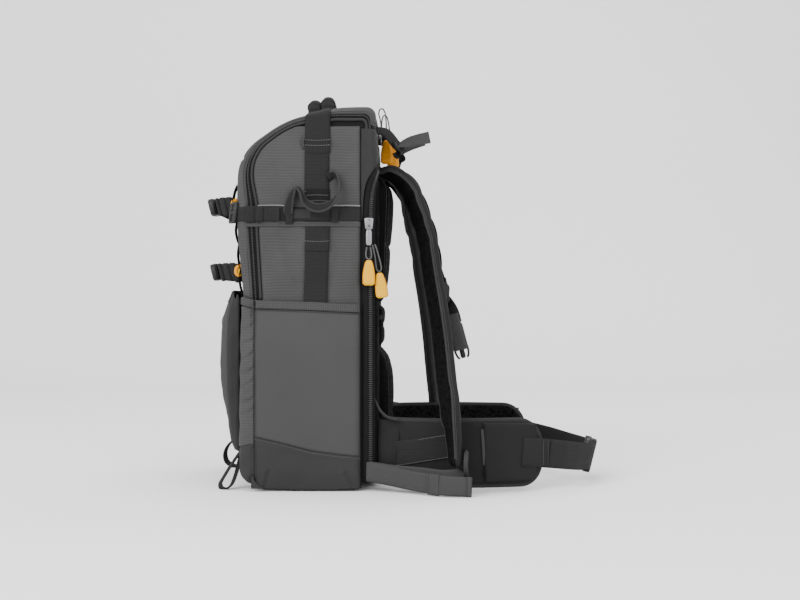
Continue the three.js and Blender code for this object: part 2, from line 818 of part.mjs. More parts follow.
const upperPad = { foot: 0.492, height: 0.318 };
const upperPadRows = [
  { z: 0, depth: 0.2, width: 0.86 },
  { z: 0.04, depth: 0.45, width: 0.96 },
  { z: 0.3, depth: 0.68, width: 1 },
  { z: 0.62, depth: 0.84, width: 1 },
  { z: 0.9, depth: 1, width: 0.98 },
  { z: 0.97, depth: 0.8, width: 0.9 },
  { z: 1, depth: 0.3, width: 0.8 },
];
const middlePad = { foot: 0.372, height: 0.11 };
const middlePadRows = [
  { z: 0, depth: 0.15, width: 0.9 },
  { z: 0.1, depth: 0.35, width: 1 },
  { z: 0.9, depth: 0.37, width: 1 },
  { z: 1, depth: 0.15, width: 0.9 },
];
const lumbarPad = { foot: 0.014, height: 0.35 };
const lumbarRows = [
  { z: 0, depth: 0.42, width: 0.9 },
  { z: 0.08, depth: 0.62, width: 0.98 },
  { z: 0.3, depth: 0.94, width: 1 },
  { z: 0.64, depth: 1, width: 1 },
  { z: 0.78, depth: 0.9, width: 1 },
  { z: 0.92, depth: 0.66, width: 0.94 },
  { z: 0.98, depth: 0.38, width: 0.84 },
  { z: 1, depth: 0.15, width: 0.76 },
];

// A hip wing in plan: x as shares of its length, y of its spread; low and high of its height
const wingRows = [
  { x: 0.01, y: 0.715, low: 0.08, high: 1 },
  { x: 0.11, y: 0.9, low: 0.03, high: 1 },
  { x: 0.3, y: 0.985, low: 0, high: 1 },
  { x: 0.56, y: 1, low: 0, high: 1 },
  { x: 0.8, y: 0.945, low: 0, high: 1 },
  { x: 0.88, y: 0.915, low: 0.04, high: 0.97 },
  { x: 0.94, y: 0.885, low: 0.13, high: 0.88 },
  { x: 1, y: 0.85, low: 0.32, high: 0.66 },
];

function wingPlace(row, z) {
  return point(bodyRear + 2 + row.x * wingLength, -row.y * wingSpread, z);
}

function hipWing() {
  const rows = wingRows;
  const line = rows.map((r) => wingPlace(r, wingFloor + ((r.low + r.high) / 2) * wingHeight));
  return strip(
    line,
    rows.map((r) => (r.high - r.low) * wingHeight),
    wingThick,
    upAxis,
    0.3 * wingThick,
  ).subtract(bagSkin);
}

// Belt webbing from a wing's outer face, at 0, to the closed buckle, at 1: y as shares of the
// width from the buckle out to the wings' widest place
const beltRows = [
  { x: -0.436, y: 0.925, z: 0, lean: 0 },
  { x: -0.154, y: 0.873, z: 0.06, lean: 0.05 },
  { x: 0.013, y: 0.832, z: 0.14, lean: 0.1 },
  { x: 0.192, y: 0.757, z: 0.26, lean: 0.15 },
  { x: 0.487, y: 0.572, z: 0.51, lean: 0.3 },
  { x: 0.769, y: 0.318, z: 0.8, lean: 0.7 },
  { x: 0.962, y: 0.143, z: 0.94, lean: 0.95 },
  { x: 1, y: 0, z: 1, lean: 1 },
];

function beltWebbing() {
  const wingEnd = wingPlace(wingRows.at(-1), 0).x;
  const run = bodyRear + beltReach - wingEnd;
  const inner = beltBuckle.width / 2 + 3 * gap;
  const outer = wingSpread + wingThick / 2 + webThick + 2 * gap;
  const high = wingFloor + 0.52 * wingHeight;
  const drop = high - beltBuckle.foot - beltBuckle.height / 2;
  const slope = Math.tan(radians(beltLean));
  return strip(
    beltRows.map((row) =>
      point(wingEnd + row.x * run, -inner - row.y * (outer - inner), high - row.z * drop),
    ),
    beltWeb,
    1.3 * webThick,
    beltRows.map((row) => point(row.lean * slope, 0, 1)),
  );
}

function closedBeltBuckle() {
  const x = bodyRear + beltReach;
  const z = beltBuckle.foot + beltBuckle.height / 2;
  const up = point(Math.sin(radians(beltLean)), 0, Math.cos(radians(beltLean)));
  const out = point(up.z, 0, -up.x);
  const rows = [
    { y: -1, size: 0.86, thick: 0.8 },
    { y: -0.8, size: 1, thick: 1 },
    { y: -0.2, size: 0.86, thick: 1 },
    { y: 0.2, size: 0.86, thick: 1 },
    { y: 0.8, size: 1, thick: 1 },
    { y: 1, size: 0.86, thick: 0.8 },
  ];
  return loft(
    rows.map((r) =>
      section(
        point(x, (r.y * beltBuckle.width) / 2, z), up, out,
        (r.size * beltBuckle.height) / 2, (r.thick * beltBuckle.thick) / 2,
        0.25 * beltBuckle.thick),
    ),
  );
}

// Zip furniture. Pulls hang along down from their top, facing out
function zipPull(top, down, facing) {
  const rows = [
    { s: 0, width: 0.5, thick: 0.7 },
    { s: 0.15, width: 0.82, thick: 1 },
    { s: 0.55, width: 1, thick: 1 },
    { s: 0.9, width: 0.94, thick: 1 },
    { s: 1, width: 0.7, thick: 0.7 },
  ];
  const side = down.clone().cross(facing).normalize();
  return loft(
    rows.map((r) =>
      section(
        top.clone().addScaledVector(down, r.s * pull.length), side, facing,
        (r.width * pull.width) / 2, (r.thick * pull.thick) / 2, 0.25 * pull.thick),
    ),
  );
}

function zipSlider(middle, facing, tabDown, tabLength) {
  const up = tabDown.clone().negate();
  const side = up.clone().cross(facing).normalize();
  const car = loft(
    [-0.5, -0.2, 0.5].map((s, i) =>
      section(
        middle.clone().addScaledVector(up, s * slider.length), side, facing,
        ((i === 2 ? 1 : 0.75) * slider.width) / 2, slider.thick / 2, 0.8),
    ),
  );
  const lift = slider.thick / 2 - sliderTab.thick / 2;
  const tab = loft(
    [0.1, 0.3, 1, 1.35].map((s, i) =>
      section(
        middle.clone().addScaledVector(tabDown, s * tabLength).addScaledVector(facing, lift),
        side, facing, ((i === 3 ? 0.7 : 1) * sliderTab.width) / 2, sliderTab.thick / 2),
    ),
  );
  return car.add(tab);
}

// Chosen routes of the zip cords: each leaves a slider's tab, turns above its pull and comes back
const backSliderAt = point(bodyRear - 11.5, -halfWidth - gap - slider.thick / 2, 0.695 * bodyHeight);
const tabEnd = backSliderAt.clone().add(point(0, -1.2, -1.35 * backTab - 1.6));
const lidSliderHeight = upBody(0.953);
const lidDrop = bagAt.rear(lidSliderHeight - slider.length) - bagAt.rear(lidSliderHeight);
const lidSlope = lidDrop / slider.length;
const lidSliderX = bagAt.rear(lidSliderHeight) + slider.thick / 2;
const lidSliderAt = point(lidSliderX, -0.22 * halfWidth, lidSliderHeight);
const cordRoutes = {
  back_cord_a: [
    point(-2.6, -1.4, 1.2), point(-3.4, -2.2, -4), point(-3.6, -3.4, -9), point(-2.6, -4.2, -12.6),
    point(0, -4.4, -14), point(2.6, -4.2, -12.6), point(3.4, -3.4, -9), point(2.8, -2.2, -4),
    point(2, -1.4, 1.2),
  ].map((p) => p.add(tabEnd)),
  back_cord_b: [
    point(4.6, 0.2, 4), point(6.4, 0.3, -4), point(8, 0.4, -12), point(9, 0.5, -22),
    point(10.4, 0.5, -28), point(13.2, 0.5, -30), point(15.6, 0.5, -27.4), point(15, 0.4, -20),
    point(12.4, 0.3, -10), point(9.8, 0.2, -1), point(7.6, 0.2, 5),
  ].map((p) => p.add(tabEnd)),
  lid_cord_a: [
    point(3.4, -3, 4), point(3.2, -3.4, 12), point(2, -3.6, 20), point(0.2, -3.6, 28),
    point(1.9, -3.6, 33.5), point(5.2, -3.6, 34.5), point(8.2, -3.6, 30), point(9.8, -3.6, 20),
    point(10.6, -3.6, 6), point(10.7, -3.6, -8),
  ].map((p) => p.add(lidSliderAt)),
  lid_cord_b: [
    point(3.4, 3, 4), point(3.9, 3.4, 12), point(4.6, 3.6, 20), point(6.4, 3.8, 25.6),
    point(9.8, 4, 26), point(12.4, 4, 20), point(14.4, 4, 9), point(15.8, 4, -2),
    point(16.8, 4, -13),
  ].map((p) => p.add(lidSliderAt)),
};

function geometryOf(form) {
  const made = form.getMesh();
  const geometry = new THREE.BufferGeometry();
  const points = new Float32Array(made.numVert * 3);
  for (let i = 0; i < made.numVert; i++) {
    points.set(made.vertProperties.subarray(i * made.numProp, i * made.numProp + 3), i * 3);
  }
  geometry.setAttribute("position", new THREE.BufferAttribute(points, 3));
  geometry.setIndex(new THREE.BufferAttribute(made.triVerts, 1));
  geometry.computeVertexNormals();
  return geometry;
}

function surface(color, roughness = 0.9, metalness = 0) {
  return new THREE.MeshStandardMaterial({ color, roughness, metalness });
}

const colours = {
  ripstop: surface(0x5d5e60),
  smoothCloth: surface(0x636466),
  mesh: surface(0x242527),
  strapCloth: surface(0x434446),
  webbing: surface(0x4b4c4e, 0.8),
  paleWebbing: surface(0x5f6062, 0.8),
  plastic: surface(0x2f3032, 0.5),
  accent: surface(0xe7c757, 0.55),
  orange: surface(0xe1961e, 0.55),
  metal: surface(0xc9cbcd, 0.3, 1),
  cord: surface(0x6f7072, 0.8),
};

const backpack = new THREE.Group();

function add(name, form, material) {
  const piece = new THREE.Mesh(geometryOf(form), material);
  piece.name = name;
  backpack.add(piece);
  return piece;
}

// The right piece, and its mirror image on the left; make takes how far the left one lags
function addPair(name, make, material, lag = 0) {
  add(`${name}_right`, make(0), material);
  add(`${name}_left`, make(lag), material).scale.y = -1;
}

const walls = bagWalls();
add("body_shell", walls.body, colours.ripstop);
add("lid", walls.lid, colours.ripstop);
add("lid_zip", walls.lidZip, colours.mesh);
add("back_panel", walls.door, colours.mesh);
add("back_zip", walls.doorZip, colours.mesh);
addPair("side_pocket", sidePocket, colours.smoothCloth);
add("front_pocket", frontPocket(), colours.smoothCloth);
addPair("side_band", sideBand, colours.webbing);
addPair("side_webbing", sideWebbing, colours.webbing);
add("over_strap", overStrap(), colours.webbing);
add("top_grip_front", topGrip(overStrapLead - gripSpacing / 2), colours.webbing);
add("top_grip_rear", topGrip(overStrapLead + gripSpacing / 2), colours.webbing);
addPair("side_loop", sideLoopHandle, colours.webbing);
addPair("side_strap", sideCinch, colours.webbing);
addPair("side_buckle", sideBuckle, colours.plastic);
addPair("front_daisy", frontDaisy, colours.webbing);
for (const [level, strap] of Object.entries(frontStraps)) {
  add(`front_strap_${level}`, frontStrap(strap), colours.webbing);
  add(`front_buckle_${level}`, frontBuckleBox(strap), colours.plastic);
}
add("tripod_loop_right", tripodLoop(tripodReach.right), colours.webbing);
add("tripod_loop_left", tripodLoop(tripodReach.left), colours.webbing).scale.y = -1;

add("back_pad_upper", backPad(upperPad, padThick, padWidth, upperPadRows), colours.mesh);
add("back_pad_middle", backPad(middlePad, padThick, padWidth, middlePadRows), colours.mesh);
add("lumbar_pad", backPad(lumbarPad, lumbarThick, lumbarWidth, lumbarRows), colours.mesh);
addPair("shoulder_strap", shoulderStrap, colours.strapCloth, strapLag);
addPair("load_lifter", loadLifter, colours.paleWebbing);
addPair("chest_strap", chestStrap, colours.webbing, strapLag);
addPair("chest_buckle", chestBuckleHalf, colours.plastic, strapLag);
addPair("ladder_lock", ladderLock, colours.plastic, strapLag);
addPair("lower_webbing", lowerWebbing, colours.paleWebbing, strapLag);
addPair("hip_wing", hipWing, colours.strapCloth);
addPair("belt_webbing", beltWebbing, colours.webbing);
add("belt_buckle", closedBeltBuckle(), colours.plastic);

const facingRight = point(0, -1, 0);
const lidFacing = point(1, 0, lidSlope).normalize();
const downLid = point(lidSlope, 0, -1).normalize();
const straightDown = point(0, 0, -1);
add("back_slider", zipSlider(backSliderAt, facingRight, straightDown, backTab), colours.metal);
add("lid_slider", zipSlider(lidSliderAt, lidFacing, downLid, lidTab), colours.metal);
for (const [name, route] of Object.entries(cordRoutes)) {
  add(name, tube(route, cordRound, 8, 26), colours.cord);
}
const pulls = [
  { name: "back_pull_a", from: tabEnd, top: point(0, -4.4, -15.4), lean: 0, colour: colours.accent },
  { name: "back_pull_b", from: tabEnd, top: point(13.2, 0.5, -31.4), lean: 0.13, colour: colours.accent },
  { name: "lid_pull_a", from: lidSliderAt, top: point(10.7, -3.6, -8.3), lean: 0, colour: colours.orange },
  { name: "lid_pull_b", from: lidSliderAt, top: point(16.8, 4, -13.3), lean: 0.1, colour: colours.orange },
];
for (const { name, from, top, lean, colour } of pulls) {
  const down = point(lean, 0, -1).normalize();
  add(name, zipPull(from.clone().add(top), down, facingRight), colour);
}

export default backpack;
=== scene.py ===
import math

import bpy
import numpy as np
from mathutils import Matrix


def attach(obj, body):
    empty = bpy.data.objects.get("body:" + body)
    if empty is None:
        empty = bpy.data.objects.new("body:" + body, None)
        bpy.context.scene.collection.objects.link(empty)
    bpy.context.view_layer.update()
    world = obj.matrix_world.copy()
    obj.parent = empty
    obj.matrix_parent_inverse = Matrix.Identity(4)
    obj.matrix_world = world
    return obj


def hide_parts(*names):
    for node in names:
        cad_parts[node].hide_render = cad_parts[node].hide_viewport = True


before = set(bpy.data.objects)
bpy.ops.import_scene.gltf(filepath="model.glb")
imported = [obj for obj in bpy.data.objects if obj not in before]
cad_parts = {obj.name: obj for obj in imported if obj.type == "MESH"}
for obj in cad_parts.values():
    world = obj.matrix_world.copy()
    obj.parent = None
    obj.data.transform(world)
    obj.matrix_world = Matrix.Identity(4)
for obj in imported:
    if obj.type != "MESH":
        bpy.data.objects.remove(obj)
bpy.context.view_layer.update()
scene = bpy.context.scene

# Camera: square on to the bag's right side, lens and distance worked out from the photo
cameraSettings = {"place": (0.110, -1.863, 0.244), "lens": 60.93, "sensor": 36.0}
cameraData = bpy.data.cameras.new("camera")
cameraData.lens = cameraSettings["lens"]
cameraData.sensor_width = cameraSettings["sensor"]
camera = bpy.data.objects.new("camera", cameraData)
camera.location = cameraSettings["place"]
camera.rotation_euler = (math.radians(90), 0, 0)
scene.collection.objects.link(camera)
scene.camera = camera


# 1 is the side that the camera sees
bagSides = ((1, "right"), (-1, "left"))


# Lines and grids, in millimetres; makePiece turns them into metres
def evenLine(points, count):
    p = np.array(points, float)
    steps = np.linalg.norm(np.diff(p, axis=0), axis=1)
    walked = np.concatenate([[0], np.cumsum(steps)])
    at = np.linspace(0, walked[-1], count)
    return np.stack([np.interp(at, walked, p[:, i]) for i in range(p.shape[1])], axis=1)


def smoothLine(points, count):
    p = np.array(points, float)
    p = np.vstack([2 * p[0] - p[1], p, 2 * p[-1] - p[-2]])
    gaps = np.maximum(np.linalg.norm(np.diff(p, axis=0), axis=1), 1e-6) ** 0.5
    t = np.concatenate([[0], np.cumsum(gaps)])
    made = []
    for u in np.linspace(t[1], t[-2] - 1e-9, 12 * len(p)):
        i = int(np.searchsorted(t, u, side="right")) - 1
        i = min(max(i, 1), len(p) - 3)
        a = [p[i - 1 + k] for k in range(4)]
        s = [t[i - 1 + k] for k in range(4)]
        b = [a[k] + (a[k + 1] - a[k]) * (u - s[k]) / (s[k + 1] - s[k]) for k in range(3)]
        c = [b[k] + (b[k + 1] - b[k]) * (u - s[k]) / (s[k + 2] - s[k]) for k in range(2)]
        made.append(c[0] + (c[1] - c[0]) * (u - s[1]) / (s[2] - s[1]))
    return evenLine(made, count)


def unit(v):
    return v / np.maximum(np.linalg.norm(v, axis=-1, keepdims=True), 1e-12)


def gridNormals(grid, outward):
    n = unit(np.cross(np.gradient(grid, axis=0), np.gradient(grid, axis=1)))
    middle = n[grid.shape[0] // 2, grid.shape[1] // 2]
    return n if np.dot(middle, outward) > 0 else -n


def arcLengths(grid, axis):
    steps = np.linalg.norm(np.diff(grid, axis=axis), axis=2)
    zero = np.zeros_like(np.take(steps, [0], axis=axis))
    return np.concatenate([zero, np.cumsum(steps, axis=axis)], axis=axis)


# Cloth coordinates that stay level: the distance along the grid, and the height
def levelUv(grid):
    return np.stack([arcLengths(grid, 0), grid[..., 2]], axis=-1)


# 0 at a grid's rim, rising to 1 over reach, round like a stitched edge
def rimRise(grid, reach, sides="uv"):
    near = np.full(grid.shape[:2], 1e9)
    for axis, key in ((0, "u"), (1, "v")):
        if key in sides:
            walked = arcLengths(grid, axis)
            whole = np.take(walked, [-1], axis=axis)
            near = np.minimum(near, np.minimum(walked, whole - walked))
    return np.sqrt(1 - (1 - np.clip(near / reach, 0, 1)) ** 2)


# Smooth even waves in all directions, from -1 to 1, with a fixed seed
def ripple(points, size, seed):
    rng = np.random.default_rng(seed)
    total = np.zeros(points.shape[:-1])
    for k in range(7):
        way = unit(rng.normal(size=3)) * rng.uniform(0.6, 1.5) * 2 * math.pi / size
        total += np.sin(points @ way + rng.uniform(0, 2 * math.pi))
    return total / 4


# How near points lie to a chain of points: 1 on it, falling off over width
def nearLine(points, chain, width):
    flat = points.reshape(-1, points.shape[-1])
    best = np.full(len(flat), 1e9)
    line = np.array(chain, float)
    for a, b in zip(line[:-1], line[1:]):
        along = b - a
        t = np.clip(((flat - a) @ along) / max(along @ along, 1e-9), 0, 1)
        best = np.minimum(best, np.linalg.norm(flat - a - t[:, None] * along, axis=1))
    return np.exp(-((best / width) ** 2)).reshape(points.shape[:-1])


def flipInside(mesh):
    mesh.calc_loop_triangles()
    corners = np.zeros(len(mesh.loop_triangles) * 3, np.int32)
    mesh.loop_triangles.foreach_get("vertices", corners)
    co = np.zeros(len(mesh.vertices) * 3)
    mesh.vertices.foreach_get("co", co)
    a, b, c = np.moveaxis(co.reshape(-1, 3)[corners.reshape(-1, 3)], 1, 0)
    if np.einsum("ij,ij->i", a, np.cross(b, c)).sum() < 0:
        mesh.flip_normals()


# A piece from points in millimetres; it rides on the bag's one body
def makePiece(name, points, faces, materials, uvs=None, faceMaterials=None):
    mesh = bpy.data.meshes.new(name)
    mesh.from_pydata((np.asarray(points, float) * 0.001).tolist(), [], faces)
    for material in materials:
        mesh.materials.append(material)
    if faceMaterials is not None:
        mesh.polygons.foreach_set("material_index", np.asarray(faceMaterials, np.int32))
    mesh.polygons.foreach_set("use_smooth", np.ones(len(mesh.polygons), bool))
    if uvs is not None:
        layer = mesh.uv_layers.new(name="UVMap")
        loops = np.zeros(len(mesh.loops), np.int32)
        mesh.loops.foreach_get("vertex_index", loops)
        layer.data.foreach_set("uv", (np.asarray(uvs, float)[loops] * 0.001).ravel())
    mesh.update()
    flipInside(mesh)
    piece = bpy.data.objects.new(name, mesh)
    scene.collection.objects.link(piece)
    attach(piece, "root")
    return piece


# A closed shell between two grids of points
def shell(name, outer, inner, materials, uv=None, wrap=False, rimMaterial=None, slot=None):
    nu, nv = outer.shape[:2]
    count = nu * nv
    index = np.arange(count).reshape(nu, nv)
    rows = np.vstack([index, index[:1]]) if wrap else index
    quads = np.stack([rows[:-1, :-1], rows[1:, :-1], rows[1:, 1:], rows[:-1, 1:]], axis=-1)
    top = quads.reshape(-1, 4)
    under = top[:, ::-1] + count
    if wrap:
        loops = [rows[:, 0], rows[::-1, -1]]
    else:
        loops = [np.concatenate([index[:, 0], index[-1, 1:], index[-2::-1, -1], index[0, -2::-1]])]
    rim = [
        (int(b), int(a), int(a) + count, int(b) + count)
        for loop in loops
        for a, b in zip(loop[:-1], loop[1:])
    ]
    if uv is None:
        uv = np.stack([arcLengths(outer, 1), arcLengths(outer, 0)], axis=-1)
    uvs = np.concatenate([uv.reshape(-1, 2)] * 2)
    faces = [tuple(map(int, q)) for q in np.vstack([top, under])] + rim
    faceMaterials = None
    if rimMaterial is not None:
        faceMaterials = [0] * len(top) + [rimMaterial] * (len(under) + len(rim))
    points = np.concatenate([outer.reshape(-1, 3), inner.reshape(-1, 3)])
    return makePiece(name, points, faces, materials, uvs, faceMaterials)


# Cloth laid on a grid: low and high are its two faces' heights above it
def clothOn(name, grid, outward, low, high, rim, materials, uv=None, lift=None, **more):
    n = gridNormals(grid, outward)
    rise = rimRise(grid, rim)
    tall = (high - low) * (0.35 + 0.65 * rise)
    if lift is not None:
        tall = tall + lift * rise
    outer = grid + n * (low + tall)[..., None]
    return shell(name, outer, grid + n * low, materials, uv=uv, **more)


# A closed skin through closed rings, with its two ends capped
def loft(name, rings, materials, uvs=None, ringMaterials=None):
    r = np.array(rings, float)
    count, around = r.shape[:2]
    index = np.arange(count * around).reshape(count, around)
    ahead = np.roll(index, -1, axis=1)
    quads = np.stack([index[:-1], ahead[:-1], ahead[1:], index[1:]], axis=-1).reshape(-1, 4)
    faces = [tuple(map(int, q)) for q in quads]
    faces += [tuple(int(i) for i in index[0][::-1]), tuple(int(i) for i in index[-1])]
    if uvs is None:
        along = arcLengths(r, 0)
        across = arcLengths(r, 1)
        uvs = np.stack([across, along], axis=-1).reshape(-1, 2)
    faceMaterials = None
    if ringMaterials is not None:
        faceMaterials = list(np.tile(ringMaterials, count - 1)) + [ringMaterials[0]] * 2
    return makePiece(name, r.reshape(-1, 3), faces, materials, uvs, faceMaterials)


# Frames along a line: its direction, a side and an outward direction at each point
def framesAlong(line, sideways):
    along = unit(np.gradient(line, axis=0))
    side = np.broadcast_to(np.array(sideways, float), line.shape).copy()
    side -= np.sum(side * along, axis=1, keepdims=True) * along
    side = unit(side)
    return along, side, np.cross(side, along)


# Webbing along a line: flat, with round edges and a slightly raised middle
def webbing(name, line, sideways, width, thick, material, wave=0.0, seed=1):
    line = np.array(line, float)
    count = len(line)
    across = np.linspace(-1, 1, 9)
    half = np.broadcast_to(np.asarray(width, float), (count,)) / 2
    _, side, out = framesAlong(line, sideways)
    lift = wave * ripple(line, 38, seed)
    swell = np.clip(1 - np.abs(across) ** 6, 0.25, 1)
    ring = []
    for s, w in zip(across, swell):
        ring.append((s, 0.5 * w + 0.06 * math.cos(s * math.pi)))
    for s, w in zip(across[::-1], swell[::-1]):
        ring.append((s, -0.5 * w))
    rings = np.stack(
        [
            line + side * (half * s)[:, None] + out * (thick * o + lift)[:, None]
            for s, o in ring
        ],
        axis=1,
    )
    walked = arcLengths(line[:, None, :], 0)[:, 0]
    uvs = np.stack(
        [
            np.stack([half * s + half, walked], axis=1)
            for s, _ in ring
        ],
        axis=1,
    ).reshape(-1, 2)
    return loft(name, rings, [material], uvs)


def tube(name, line, radius, sides, material, flat=1.0, sideways=(0.31, 0.52, 0.79)):
    line = np.array(line, float)
    _, side, out = framesAlong(line, sideways)
    turns = np.linspace(0, 2 * math.pi, sides, endpoint=False)
    r = np.broadcast_to(np.asarray(radius, float), (len(line),))[:, None]
    rings = np.stack(
        [line + r * (side * math.cos(t) + flat * out * math.sin(t)) for t in turns], axis=1
    )
    return loft(name, rings, [material])


# Materials. A tone is a brightness read off the photograph, from 0 to 255
clothLevel = 0.3


def tone(value, warm=0.0):
    def linear(v):
        v = v / 255
        return v / 12.92 if v <= 0.04045 else ((v + 0.055) / 1.055) ** 2.4

    shades = (value + warm, value, value - 0.6 * warm)
    return tuple(clothLevel * linear(shade) for shade in shades) + (1,)


class Nodes:
    def __init__(self, material):
        self.tree = material.node_tree
        self.shader = self.tree.nodes["Principled BSDF"]

    def add(self, kind, settings=(), **inputs):
        node = self.tree.nodes.new(kind)
        for key, value in dict(settings).items():
            setattr(node, key, value)
        for key, value in inputs.items():
            self.put(node.inputs[key.replace("_", " ")], value)
        return node

    def put(self, socket, value):
        if isinstance(value, bpy.types.NodeSocket):
            self.tree.links.new(value, socket)
        else:
            socket.default_value = value

    def math(self, operation, *values):
        node = self.tree.nodes.new("ShaderNodeMath")
        node.operation = operation
        for socket, value in zip(node.inputs, values):
            self.put(socket, value)
        return node.outputs[0]

    # A soft-edged line pattern along one coordinate, from 0 to 1
    def ribs(self, coordinate, pitch, offset=0.0):
        turns = self.math("MULTIPLY_ADD", coordinate, 2 * math.pi / pitch, offset)
        return self.math("MULTIPLY_ADD", self.math("SINE", turns), 0.5, 0.5)

    def blend(self, share, a, b):
        node = self.add("ShaderNodeMix", {"data_type": "RGBA"})
        self.put(node.inputs[0], share)
        self.put(node.inputs[6], a)
        self.put(node.inputs[7], b)
        return node.outputs[2]

    def noise(self, coordinate, scale, detail=3.0, rough=0.55):
        node = self.add("ShaderNodeTexNoise", Scale=scale, Detail=detail, Roughness=rough)
        self.put(node.inputs["Vector"], coordinate)
        return node.outputs["Fac"]

    def finish(self, colour, height, bump, rough, distance=0.0004):
        self.put(self.shader.inputs["Base Color"], colour)
        self.put(self.shader.inputs["Roughness"], rough)
        node = self.add("ShaderNodeBump", Strength=bump, Distance=distance)
        self.put(node.inputs["Height"], height)
        self.put(self.shader.inputs["Normal"], node.outputs[0])


def newMaterial(name, sheen=0.0, specular=0.35):
    material = bpy.data.materials.new(name)
    material.use_nodes = True
    nodes = Nodes(material)
    nodes.shader.inputs["Specular IOR Level"].default_value = specular
    nodes.shader.inputs["Sheen Weight"].default_value = sheen
    nodes.shader.inputs["Sheen Roughness"].default_value = 0.5
    return material, nodes


# Cloth: ribs along and across in the weave's own directions, fuzz, slow shading and lighter colour where ribs
# and weave stand high
def clothMaterial(name, settings):
    material, nodes = newMaterial(name, settings.get("sheen", 0.02), settings.get("specular", 0.08))
    where = nodes.add("ShaderNodeTexCoord")
    split = nodes.add("ShaderNodeSeparateXYZ")
    nodes.put(split.inputs[0], where.outputs["UV"])
    u, v = split.outputs[0], split.outputs[1]
    place = where.outputs["Object"]
    wobble = nodes.math("MULTIPLY", nodes.noise(place, 14, 2), settings.get("wobble", 0.0))
    lines = nodes.ribs(nodes.math("ADD", v, wobble), settings["rib"])
    fine = nodes.ribs(u, settings["cross"])
    fineToo = nodes.ribs(v, settings["cross"], 1.3)
    fuzz = nodes.noise(place, settings.get("fuzz", 2600), 3, 0.7)
    slow = nodes.noise(place, settings.get("slow", 9), 3, 0.5)
    weave = nodes.math("MULTIPLY", fine, fineToo)
    ribShare = settings.get("ribShare", 0.3)
    level = nodes.math("MULTIPLY", lines, ribShare)
    level = nodes.math("MULTIPLY_ADD", weave, settings.get("weaveShare", 0.25), level)
    level = nodes.math("MULTIPLY_ADD", fuzz, settings.get("fuzzShare", 0.35), level)
    level = nodes.math("MULTIPLY_ADD", slow, settings.get("slowShare", 0.45), level)
    ramp = nodes.add("ShaderNodeMapRange", {"clamp": True}, From_Min=0.2, From_Max=0.95)
    nodes.put(ramp.inputs["Value"], level)
    colour = nodes.blend(ramp.outputs[0], settings["dark"], settings["light"])
    height = nodes.math("MULTIPLY_ADD", lines, settings.get("ribBump", 0.5), weave)
    height = nodes.math("MULTIPLY_ADD", fuzz, 0.5, height)
    rough = nodes.math("MULTIPLY_ADD", slow, 0.15, settings.get("rough", 0.78))
    nodes.finish(colour, height, settings.get("bump", 0.5), rough)
    return material


# Spacer mesh: rows of small openings in a net, over foam, darkened with painted shade
def meshMaterial(name, settings):
    material, nodes = newMaterial(name, 0.0, 0.04)
    where = nodes.add("ShaderNodeTexCoord")
    place = where.outputs["UV"]
    stretch = nodes.add("ShaderNodeMapping")
    stretch.inputs["Scale"].default_value = settings["stretch"]
    nodes.put(stretch.inputs["Vector"], place)
    cell = nodes.add("ShaderNodeTexVoronoi", {"feature": "DISTANCE_TO_EDGE"}, Randomness=settings["random"])
    cell.inputs["Scale"].default_value = settings["cells"]
    nodes.put(cell.inputs["Vector"], stretch.outputs[0])
    # The openings' mask; their dark colour is painted shade in the recesses
    holeShade = nodes.add("ShaderNodeMapRange", {"clamp": True}, From_Min=0.08, From_Max=0.3)
    nodes.put(holeShade.inputs["Value"], cell.outputs["Distance"])
    fuzz = nodes.noise(where.outputs["Object"], 1800, 3, 0.7)
    slow = nodes.noise(where.outputs["Object"], 16, 3)
    net = nodes.blend(nodes.math("MULTIPLY_ADD", slow, 0.7, nodes.math("MULTIPLY", fuzz, 0.4)),
                      settings["dark"], settings["light"])
    colour = nodes.blend(holeShade.outputs[0], net, settings["holeShade"])
    height = nodes.math("SUBTRACT", nodes.math("MULTIPLY", fuzz, 0.3), holeShade.outputs[0])
    nodes.finish(colour, height, settings["bump"], 0.9, 0.0012)
    return material


def plasticMaterial(name, settings):
    material, nodes = newMaterial(name, 0.0, 0.2)
    where = nodes.add("ShaderNodeTexCoord")
    place = where.outputs["Object"]
    grain = nodes.noise(place, settings.get("grain", 1500), 4, 0.6)
    slow = nodes.noise(place, 45, 3)
    colour = nodes.blend(slow, settings["dark"], settings["light"])
    rough = nodes.math("MULTIPLY_ADD", slow, 0.18, settings["rough"])
    nodes.finish(colour, grain, settings.get("bump", 0.12), rough, 0.0002)
    return material


def metalMaterial(name, colour, rough):
    material, nodes = newMaterial(name, 0.0, 0.5)
    nodes.shader.inputs["Metallic"].default_value = 1.0
    place = nodes.add("ShaderNodeTexCoord").outputs["Object"]
    scratch = nodes.noise(place, 900, 5, 0.7)
    shade = nodes.blend(nodes.noise(place, 120, 3), colour, tuple(0.8 * c for c in colour[:3]) + (1,))
    nodes.finish(shade, scratch, 0.1, nodes.math("MULTIPLY_ADD", scratch, 0.2, rough), 0.0001)
    return material


